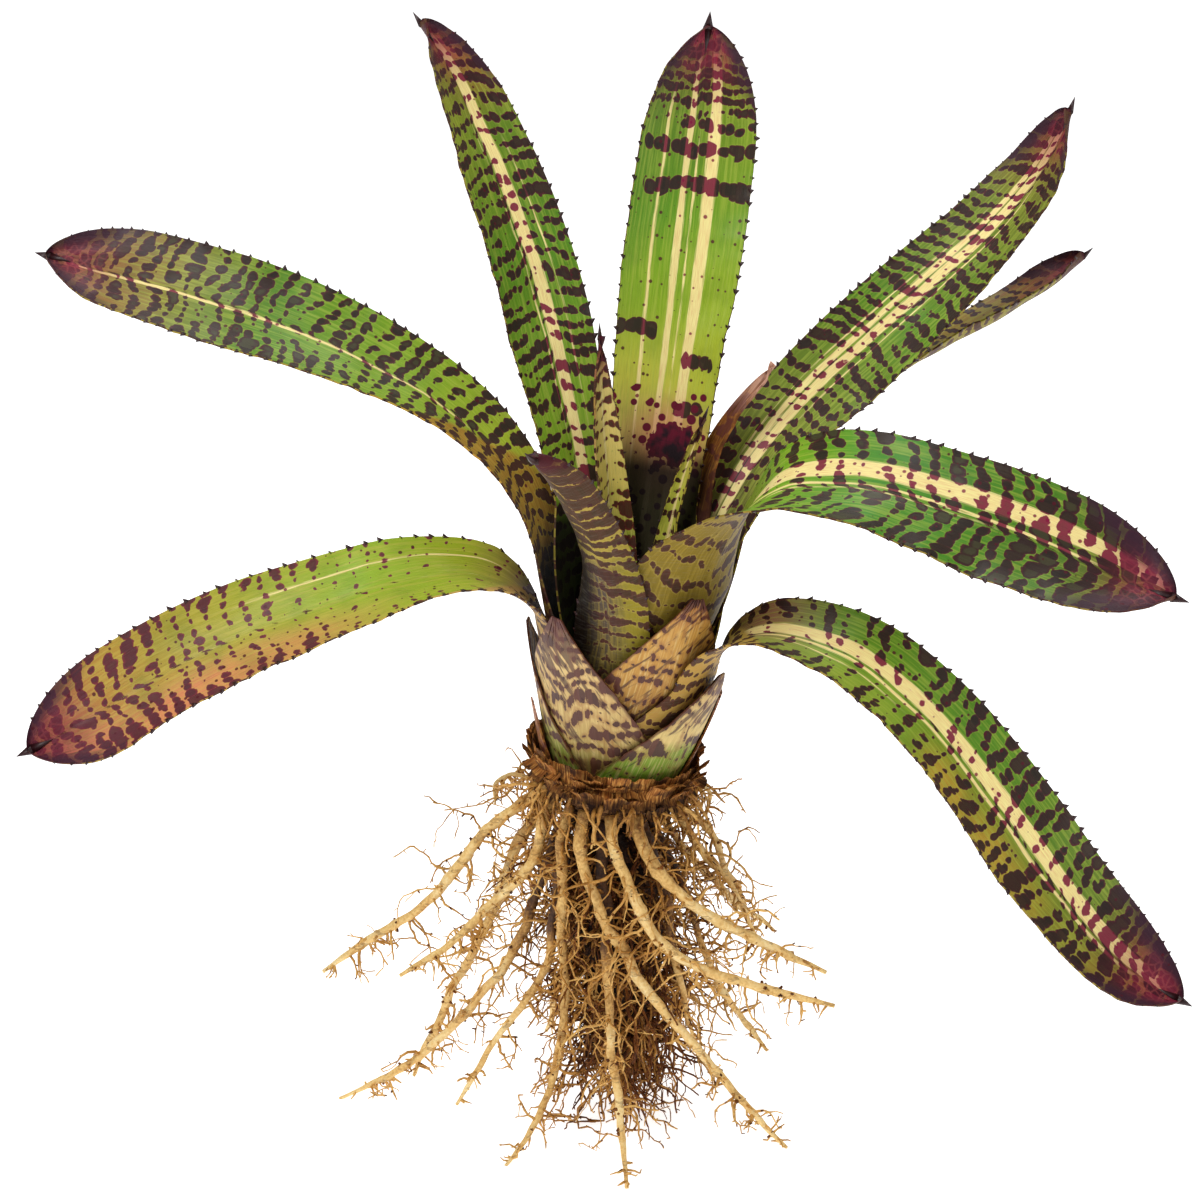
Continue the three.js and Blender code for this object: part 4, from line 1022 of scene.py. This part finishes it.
paper_mesh = bmesh.new()
draw = random.Random(7)
paper_sheet(paper_mesh, 0, 2 * math.pi * COLLAR_RADIUS, COLLAR_LOW, COLLAR_HIGH, 0, 0, 5.5, 3.1, 300, 14)
for k in range(SCALES):
    turn = k / SCALES * 2 * math.pi + draw.uniform(-0.1, 0.1)
    low = draw.uniform(1, 6) - (k % 4 == 0) * 6
    high = low + draw.uniform(3, 8)
    if draw.random() < 0.4:
        low, high = high - 3, low - draw.uniform(0, 3)
    paper_sheet(paper_mesh, turn, draw.uniform(3, 12), low, high, draw.uniform(0.5, 1.9),
                draw.uniform(0.5, 5), 2.2, draw.uniform(0, 90), 12, 10)


def paper_skin(name):
    """Rotted leaf base: dark brown fibre, paler and redder where a scale is thin, with painted shade low on
    the ring.
    """
    skin = Skin(name, {"Specular IOR Level": 0.25})
    place = skin.read("place")
    fibre, stain = dead_fibre(skin, place, 0.12, 1.5, 0.16, 0)
    tones = [(0.32, paint(40, 20, 8)), (0.46, paint(110, 66, 28)), (0.58, paint(176, 120, 58)),
             (0.72, paint(214, 168, 98))]
    colour = skin.ramp(fibre, tones)
    colour = skin.mix(stain.rises(0.45, 0.7) * 0.5, colour, paint(160, 96, 44))
    colour = skin.mix((1 - stain).rises(0.5, 0.62) * 0.75, colour, paint(50, 25, 12))
    # Painted shade: from about 4 mm down the ring goes near black, like the shadowed hollows under the crown.
    colour = skin.mix((1 - skin.part(place, "Y").rises(-3, 4)) * 0.75, colour, paint(34, 18, 9))
    skin.finish(colour, 0.75 + fibre * 0.2, fibre + stain, 0.0005)
    return skin


paper = paper_skin("dead_paper")
add_piece("papery_ring", paper_mesh, rosette_to_world, (paper, paper), "papery_collar")

# ---- Stem ----
# The short woody cone that every leaf and sheath grows from. Only its underside, the root crown, can be seen
# between the roots: dark corky bark with pale scars.
STEM_TOP = sheath_foot(0)
CROWN_BOTTOM = (8, -18)
CROWN_RIM = (26.7, -4)
CROWN_SHOULDER = 25.85
STEM_PROFILE = (
    (0, -18), (4, -18), CROWN_BOTTOM, (12.7, -14.5), (17.3, -11), (22, -7.5), CROWN_RIM, (26.7, -2.5),
    (26.7, -0.9), (CROWN_SHOULDER, -0.5), (21, 5.6), (16, 12), (11, 18.5), (6.5, STEM_TOP - 2),
    (5, STEM_TOP + 5), (0, STEM_TOP + 7),
)
stem_top_radius = sheath_radius(0, STEM_TOP) - BLADE_THICKNESS / 2 - 0.5
stem_mesh = bmesh.new()
profile = []
for r, z in STEM_PROFILE:
    reach = r
    if 0 < z <= STEM_TOP - 3:
        reach = max(r, stem_top_radius + (CROWN_SHOULDER - stem_top_radius) * (1 - z / STEM_TOP))
    profile.append(stem_mesh.verts.new((reach, 0, z)))
outline = [stem_mesh.edges.new(pair) for pair in zip(profile, profile[1:])]
bmesh.ops.spin(stem_mesh, geom=profile + outline, cent=(0, 0, 0), axis=(0, 0, 1), angle=2 * math.pi,
               steps=72, use_merge=True)
bmesh.ops.remove_doubles(stem_mesh, verts=stem_mesh.verts, dist=0.01)
bmesh.ops.recalc_face_normals(stem_mesh, faces=stem_mesh.faces)
for vert in stem_mesh.verts:
    if vert.co.z < -5 and vert.co.xy.length > 1:
        vert.co += vert.co.normalized() * (0.25 * noise.noise(vert.co / 2.5) - 0.25)


def bark_skin(name, tones, scale, depth, green_from=9.0):
    """Corky bark in the plant's own coordinates: tones run from the cracks to the worn high places. Above the
    height green_from it is young and pale green."""
    skin = Skin(name, {"Specular IOR Level": 0.3})
    where = skin.node("TexCoord", {}, {}, "Object")
    rough = skin.grain(where, scale, 4)
    patch = skin.grain(where, scale / 9, 3)
    colour = skin.ramp(rough * 0.55 + patch * 0.45, tones)
    young = skin.part(where, "Z").rises(green_from, green_from + 0.008)
    colour = skin.mix(young * 0.85, colour, skin.mix(rough, paint(112, 134, 44), paint(196, 196, 112)))
    skin.finish(colour, 0.65 + rough * 0.25, rough + patch, depth)
    return skin


crown_bark = bark_skin(
    "crown_bark", [(0.34, paint(40, 22, 12)), (0.5, paint(92, 60, 32)), (0.66, paint(168, 124, 74))],
    scale=900, depth=0.0006, green_from=CROWN_HEIGHT + 0.012,
)
add_piece("woody_stem", stem_mesh, rosette_to_world, (crown_bark,), "stem")

# ---- Thick roots ----
# Twenty-one cord-like roots that grow out of the crown's slanted underside. Seven of them reach the ground
# and carry the plant. Each is knotted where side rootlets have grown or broken off.
ROOT_GAP = 0.3
STATION_GAP = 11  # the solids' roots have a ring at about this spacing, in mm
POINT_GAP = 1.3  # and these have a point at this one
ROOTS = (
    dict(start=172, end=172, crown=22, thick=2.3, course=((46, 115), (67, 86), (92, 66), (111, 51))),
    dict(start=158, end=160, crown=20, thick=2.4, course=((36, 109), (51, 70), (66, 38), (82, 0)), foot=True),
    dict(start=198, end=200, crown=21, thick=2.2, course=((30, 110), (47, 93), (62, 82), (83, 71))),
    dict(start=178, end=175, crown=12, thick=2.2, course=((37, 66), (58, 37), (80, 15), (105, 0)), foot=True),
    dict(start=-152, end=-160, crown=13, thick=2.0, course=((30, 62), (46, 40), (62, 14))),
    dict(start=-136, end=-133, crown=20, thick=2.1, course=((26, 88), (27, 40), (38, 14), (58, 0)), foot=True),
    dict(start=-117, end=-24, crown=21, thick=2.4, course=((28, 100), (33, 70), (47, 34), (71, 0)), foot=True),
    dict(start=-68, end=-14, crown=22, thick=2.6, course=((33, 112), (40, 98), (58, 82), (81, 68))),
    dict(start=-90, end=-28, crown=21, thick=2.4, course=((31, 108), (40, 84), (62, 72), (91, 66))),
    dict(start=-44, end=-40, crown=16, thick=1.8, course=((25, 104), (30, 76), (36, 48))),
    dict(start=22, end=22, crown=21, thick=1.9, course=((37, 112), (46, 94), (59, 63))),
    dict(start=-100, end=-85, crown=12, thick=2.3, course=((20, 98), (30, 66), (46, 24), (59, 0)), foot=True),
    dict(start=140, end=150, crown=22, thick=1.2, course=((34, 128), (49, 127), (51, 116))),
    dict(start=44, end=34, crown=21, thick=1.2, course=((33, 124), (44, 124), (42, 113))),
    dict(start=0, end=5, crown=21, thick=1.7, course=((32, 110), (40, 99), (48, 86))),
    dict(start=60, end=60, crown=18, thick=2.3, course=((32, 100), (44, 62), (56, 26), (66, 0)), foot=True),
    dict(start=88, end=86, crown=19, thick=2.1, course=((30, 98), (44, 62), (60, 30), (74, 12))),
    dict(start=114, end=112, crown=18, thick=2.3, course=((28, 98), (40, 60), (56, 26), (70, 0)), foot=True),
    dict(start=134, end=136, crown=20, thick=1.9, course=((34, 108), (50, 82), (70, 58))),
    dict(start=40, end=38, crown=18, thick=2.0, course=((34, 100), (56, 74), (80, 52))),
    dict(start=8, end=10, crown=14, thick=1.9, course=((27, 90), (38, 58), (50, 34), (60, 20))),
)
plant_to_world = Matrix.Translation(stem_axis) @ Matrix.Scale(0.001, 4)
rosette_to_plant = Matrix.Translation((0, 0, 1000 * CROWN_HEIGHT)) @ Matrix.Rotation(LEAN, 4, "Y")


def wobbles(seed):
    """The same run of uneven numbers that the roots' solids were grown with."""
    state = seed

    def draw_number(low, high):
        nonlocal state
        state = (state * 1664525 + 1013904223) % 4294967296
        return low + (high - low) * state / 4294967296

    return draw_number


def on_crown(azimuth, r):
    """A point just off the crown's slanted underside, r from its axis, and the way straight out of it."""
    q = (CROWN_RIM[0] - r) / (CROWN_RIM[0] - CROWN_BOTTOM[0])
    fall = Vector((CROWN_RIM[1] - CROWN_BOTTOM[1], CROWN_BOTTOM[0] - CROWN_RIM[0])).normalized()
    angle = math.radians(azimuth)
    way = Vector((fall.x * math.cos(angle), fall.x * math.sin(angle), fall.y))
    height = CROWN_RIM[1] + (CROWN_BOTTOM[1] - CROWN_RIM[1]) * q
    point = Vector((r * math.cos(angle), r * math.sin(angle), height)) + way * ROOT_GAP
    return rosette_to_plant @ point, rosette_to_plant.to_3x3() @ way


def spread_evenly(points, count):
    """A smooth centripetal curve through the points, at count + 1 places that are evenly far apart."""
    first = points[0] * 2 - points[1]
    last = points[-1] * 2 - points[-2]
    knots = [first, *points, last]
    fine = []
    for a, b, c, d in zip(knots, knots[1:], knots[2:], knots[3:]):
        ab, bc, cd = ((q - p).length ** 0.5 for p, q in ((a, b), (b, c), (c, d)))
        out = ((b - a) / ab - (c - a) / (ab + bc) + (c - b) / bc) * bc
        back = ((c - b) / bc - (d - b) / (bc + cd) + (d - c) / cd) * bc
        for k in range(50):
            t = k / 50
            bend = (c - b) * 3 - out * 2 - back
            fine.append(b + out * t + bend * t ** 2 + ((b - c) * 2 + out + back) * t ** 3)
    fine.append(points[-1].copy())
    runs = [0.0]
    for p, q in zip(fine, fine[1:]):
        runs.append(runs[-1] + (q - p).length)
    even = []
    k = 0
    for n in range(count + 1):
        run = runs[-1] * n / count
        while k < len(runs) - 2 and runs[k + 1] < run:
            k += 1
        even.append(fine[k].lerp(fine[k + 1], (run - runs[k]) / max(1e-9, runs[k + 1] - runs[k])))
    return even, runs[-1]


def root_stations(root, number):
    """A root's course as the solid has it: points with their radii, from the crown to its end."""
    start, way = on_crown(root["start"], root["crown"])
    passes = [start, start + way * 5]
    for k, (out, height) in enumerate(root["course"]):
        q = smooth((k + 1) / len(root["course"]))
        angle = math.radians(root["start"] + (root["end"] - root["start"]) * q)
        passes.append(Vector((out * math.cos(angle), out * math.sin(angle), height)))
    count = max(5, round(spread_evenly(passes, 1)[1] / STATION_GAP))
    places = spread_evenly(passes, count)[0]
    draw_number = wobbles(100 + number)
    stations = []
    for i, point in enumerate(places):
        x, y, knot = draw_number(-0.9, 0.9), draw_number(-0.9, 0.9), draw_number(-0.12, 0.16)
        inner = 0 < i < count
        radius = root["thick"] * (1 - 0.42 * i / count) * (1 + (knot if inner else 0))
        stations.append((point + Vector((x, y, 0)) * inner, radius))
    return stations


def add_strand(curve, points, radii):
    """A round strand through the points, as one spline of the curve."""
    strand = curve.splines.new("POLY")
    strand.points.add(len(points) - 1)
    for spot, point, radius in zip(strand.points, points, radii):
        spot.co = (*point, 1)
        spot.radius = radius
    strand.use_smooth = True


def strands_to_mesh(curve, sides):
    """A mesh of all the curve's strands, as closed round tubes."""
    curve.dimensions = "3D"
    curve.bevel_depth = 1.0
    curve.bevel_resolution = sides
    curve.use_fill_caps = True
    holder = bpy.data.objects.new("strands", curve)
    bpy.context.scene.collection.objects.link(holder)
    flat = bpy.data.meshes.new_from_object(holder.evaluated_get(bpy.context.evaluated_depsgraph_get()))
    bpy.data.objects.remove(holder)
    bpy.data.curves.remove(curve)
    mesh = bmesh.new()
    mesh.from_mesh(flat)
    bpy.data.meshes.remove(flat)
    bmesh.ops.remove_doubles(mesh, verts=mesh.verts, dist=0.0001)
    return mesh


def join_mesh(mesh, other, skin_number):
    """Moves the faces of one bmesh into another, with one skin on all of them."""
    for face in other.faces:
        face.material_index = skin_number
    carrier = bpy.data.meshes.new("carrier")
    other.to_mesh(carrier)
    other.free()
    mesh.from_mesh(carrier)
    bpy.data.meshes.remove(carrier)


def any_way(draw, low=-1.0, high=1.0):
    """A random direction; low and high bound its rise."""
    return Vector((draw.uniform(-1, 1), draw.uniform(-1, 1), draw.uniform(low, high))).normalized()


def wander(draw, start, way, length, radius, sag):
    """The course of a thin rootlet that kinks every few millimetres. It keeps off the ground."""
    points, radii = [start.copy()], [radius]
    heading = way.normalized()
    run = 0.0
    while run < length:
        step = draw.uniform(1.3, 3.2)
        run += step
        heading = (heading + any_way(draw) * draw.uniform(0.25, 0.75) + Vector((0, 0, -sag))).normalized()
        spot = points[-1] + heading * step
        if spot.z < 1.2 + radius:
            spot.z = 1.2 + radius
            heading.z = abs(heading.z) * 0.3
        points.append(spot)
        radii.append(max(0.22, radius * (1 - 0.5 * run / length)) * draw.uniform(0.75, 1.35))
    return points, radii


def grow_rootlet(curve, nubs, draw, start, way, length, radius, sag, forks):
    """A rootlet with its forks, and short nubs where finer ones have broken off."""
    points, radii = wander(draw, start, way, length, radius, sag)
    add_strand(curve, points, radii)
    for _ in range(forks):
        k = draw.randrange(1, len(points) - 1)
        aside, reach = any_way(draw, -1, 0.4), length * draw.uniform(0.2, 0.5)
        add_strand(curve, *wander(draw, points[k], aside, reach, radii[k] * 0.8, sag))
    for k in range(2, len(points), 2):
        tip = points[k] + any_way(draw) * draw.uniform(0.8, 2.0)
        if tip.z > 1:
            add_strand(draw.choice((curve, curve, nubs)), [points[k], tip], [radii[k], radii[k] * 0.7])


def root_skin(name, tones, scale, depth, ring_scale, old=0.0):
    """Root bark: darker towards the plant's axis and up towards the crown, paler away from them, with fine
    rings and stains. `old` makes a root dark along its whole upper part as well."""
    skin = Skin(name, {"Specular IOR Level": 0.4})
    where = skin.node("TexCoord", {}, {}, "Object")
    rough = skin.grain(where, scale, 4)
    patch = skin.grain(where, 70, 3)
    rings = skin.grain(skin.vector_maths("MULTIPLY", where, (0.35, 0.35, 1.0)), ring_scale, 3)
    x, y, z = (skin.part(where, axis) for axis in "XYZ")
    out = skin.distance(x - stem_axis.x, y - stem_axis.y)
    # Darker near the plant's axis and higher up, towards the crown, and with `old` over the upper part.
    darkening = (1 - out.rises(0.016, 0.045)) * 0.5 + z.rises(0.08, 0.14) * 0.15 + z.rises(0.066, 0.09) * old
    tone = 0.64 - darkening * 0.36 + (patch - 0.5) * 0.7 + (rough - 0.5) * 0.45
    colour = skin.ramp(tone, tones)
    ring = rings.rises(0.58, 0.62) * (1 - rings.rises(0.62, 0.7))
    colour = skin.mix(ring * 0.5, colour, paint(104, 62, 26))
    skin.finish(colour, 0.5 + rough * 0.3, rough + rings * 0.7, depth)
    return skin


root_bark = root_skin(
    "root_bark",
    [(0.1, paint(58, 32, 14)), (0.3, paint(122, 80, 38)), (0.46, paint(196, 150, 82)),
     (0.6, paint(230, 190, 118)), (0.8, paint(246, 222, 164))],
    scale=900, depth=0.0004, ring_scale=420,
)
old_root_bark = root_skin(
    "old_root_bark",
    [(0.1, paint(50, 30, 20)), (0.3, paint(104, 72, 44)), (0.46, paint(184, 138, 76)),
     (0.6, paint(226, 184, 112)), (0.8, paint(244, 218, 158))],
    scale=900, depth=0.0004, ring_scale=420, old=0.8,
)
rootlet_bark = root_skin(
    "rootlet_bark",
    [(0.12, paint(44, 22, 6)), (0.34, paint(112, 68, 24)), (0.52, paint(184, 130, 58)),
     (0.74, paint(226, 180, 104))],
    scale=500, depth=0.0002, ring_scale=300,
)
nub_bark = bark_skin(
    "nub_bark", [(0.35, paint(52, 24, 8)), (0.5, paint(98, 54, 18)), (0.66, paint(146, 90, 34))],
    scale=600, depth=0.0003,
)

noise.seed_set(1)  # noise_vector differs from run to run without it
for number, root in enumerate(ROOTS):
    draw = random.Random(200 + number)
    stations = root_stations(root, number)
    count = round(STATION_GAP * (len(stations) - 1) / POINT_GAP)
    places, _ = spread_evenly([point for point, _ in stations], count)
    widths = [along_list([radius for _, radius in stations], i / count) for i in range(count + 1)]
    knots = [draw.uniform(0.08, 0.97) for _ in range(round(count / 9))]
    points, radii = [], []
    for i, (point, radius) in enumerate(zip(places, widths)):
        q = i / count
        free = smooth(min(q, 1 - q) * 10)
        kink = noise.noise_vector(Vector((number * 7.0, i / 5, 0))) * 0.5 * free
        swell = sum(math.exp(-(((q - knot) * count / 0.9) ** 2)) for knot in knots) * 0.16
        uneven = 0.07 * noise.noise(Vector((i / 3.5, number * 3.0, 0)))
        taper = 1 - 0.4 * smooth((q - 0.86) / 0.14)
        points.append(point + kink)
        radii.append(radius * (0.92 + swell * free + uneven * free) * taper)
    if root.get("foot"):
        points[-1] = places[-1] + Vector((0, 0, 0.001))
    curve = bpy.data.curves.new("root_course", "CURVE")
    nubs = bpy.data.curves.new("root_nubs", "CURVE")
    add_strand(nubs, [points[-1].lerp(points[-2], 0.8), points[-1]], [radii[-1] * 1.1, radii[-1] * 0.9])
    for knot in knots:
        k = max(2, round(knot * count))
        for _ in range(draw.randrange(1, 4)):
            aside = any_way(draw)
            reach = radii[k] + draw.uniform(0.3, 1.3)
            ends = [radii[k] * 0.5, draw.uniform(0.35, 0.6)]
            add_strand(nubs, [points[k], points[k] + aside * reach], ends)
    for _ in range(round(count / 1.7)):
        k = draw.randrange(4, count - 1)
        ahead = (points[k + 1] - points[k - 1]).normalized()
        aside = any_way(draw, -1, 0.5)
        aside = (aside - ahead * aside.dot(ahead) * 0.6).normalized()
        reach = draw.choice((1.5, 2, 3, 5, 8, 12, 16, 22, 30, 42)) * draw.uniform(0.7, 1.2)
        length = min(reach, 1.5 + 60 * (1 - k / count) ** 0.9)
        radius = draw.uniform(0.42, 0.66) + (0.15 if length < 4 else 0)
        grow_rootlet(curve, nubs, draw, points[k] + aside * radii[k] * 0.6, aside, length, radius, 0.12,
                     draw.randrange(0, 3) if length > 7 else 0)
    main = bpy.data.curves.new("root_course", "CURVE")
    add_strand(main, points, radii)
    mesh = bmesh.new()
    join_mesh(mesh, strands_to_mesh(nubs, 0), 2)
    join_mesh(mesh, strands_to_mesh(curve, 0), 1)
    join_mesh(mesh, strands_to_mesh(main, 3), 0)
    for vert in mesh.verts:
        vert.co.z = max(0.0, vert.co.z)
    name = f"root_{number + 1:02d}"
    bark = old_root_bark if root["crown"] < 17 else root_bark
    add_piece("live_" + name, mesh, plant_to_world, (bark, rootlet_bark, nub_bark), name)

# ---- Fine roots ----
# The dark mat of thin roots under the crown, with old potting bark caught in it; its near-black core is
# partly painted shade between the roots. Golden rootlets spring from it on all sides, curl, fork and hang.
CORE_TOP = 119.0
CORE_FOOT = 17.0
CORE_RINGS = 42
CORE_SEGMENTS = 56
CORE_PLUMB = 113  # at this height the mat is centred under the crown


def core_reach(q):
    """The mat's radius from its top, q = 0, to its foot, q = 1: it is widest in the upper half."""
    return 4.5 + 16 * math.sin(math.pi * (0.2 + q * 0.78))


def in_core(reach, turn, height):
    """A point of the mat, which drifts aside a little towards its foot."""
    drift = 0.05 * (CORE_PLUMB - height)
    return Vector((reach * math.cos(turn) + drift, reach * math.sin(turn), height))


mat_mesh = bmesh.new()
bmesh.ops.create_cone(mat_mesh, cap_ends=True, segments=CORE_SEGMENTS, radius1=1, radius2=1, depth=2)
uprights = [edge for edge in mat_mesh.edges if abs(edge.verts[0].co.z - edge.verts[1].co.z) > 1]
bmesh.ops.subdivide_edges(mat_mesh, edges=uprights, cuts=CORE_RINGS)
for vert in mat_mesh.verts:
    q = (1 - vert.co.z) / 2
    height = CORE_TOP + (CORE_FOOT - CORE_TOP) * q
    turn = math.atan2(vert.co.y, vert.co.x)
    spot = Vector((math.cos(turn), math.sin(turn), height / 20))
    lumps = noise.noise(spot * 1.8) * 0.35 + noise.noise(spot * 6) * 0.22 + noise.noise(spot * 17) * 0.12
    vert.co = in_core(core_reach(q) * (0.72 + lumps), turn, height)
for face in mat_mesh.faces:
    face.material_index = 1

draw = random.Random(11)
curve = bpy.data.curves.new("fine_courses", "CURVE")
dark_curve = bpy.data.curves.new("dark_courses", "CURVE")
for number in range(560):
    height = draw.uniform(22, 118)
    turn = draw.uniform(0, 2 * math.pi)
    q = (CORE_TOP - height) / (CORE_TOP - CORE_FOOT)
    start = in_core(core_reach(q) * 0.5, turn, height)
    way = Vector((math.cos(turn), math.sin(turn), draw.uniform(-1.6, 0.2)))
    if number % 5 < 2:
        start *= Vector((1.6, 1.6, 1))
        grow_rootlet(dark_curve, dark_curve, draw, start, way, draw.uniform(14, 36), 0.62, 0.2, 2)
    else:
        grow_rootlet(curve, dark_curve, draw, start, way, draw.uniform(14, 62), draw.uniform(0.42, 0.66), 0.1,
                     draw.randrange(0, 3))
for number in range(90):
    turn = draw.uniform(0, 2 * math.pi)
    around = Vector((math.cos(turn), math.sin(turn), 0))
    start = rosette_to_plant @ (around * draw.uniform(26, 28.6) + Vector((0, 0, draw.uniform(-6, 1))))
    grow_rootlet(curve, dark_curve, draw, start, around * 0.6 + Vector((0, 0, draw.uniform(-1.4, 0.1))),
                 draw.uniform(6, 26), draw.uniform(0.45, 0.9), 0.2, draw.randrange(0, 2))
join_mesh(mat_mesh, strands_to_mesh(dark_curve, 0), 2)
join_mesh(mat_mesh, strands_to_mesh(curve, 0), 0)

# Painted shade and bark: the mat's core is near black, for the shadow among the dense fine roots as well as
# their own dark colour.
mat_bark_and_shade = bark_skin(
    "mat_bark_and_shade", [(0.38, paint(16, 8, 4)), (0.5, paint(44, 24, 10)), (0.66, paint(104, 64, 28))],
    scale=420, depth=0.0015,
)
mat_skins = (rootlet_bark, mat_bark_and_shade, nub_bark)
add_piece("fine_root_mat", mat_mesh, plant_to_world, mat_skins, "fine_roots")
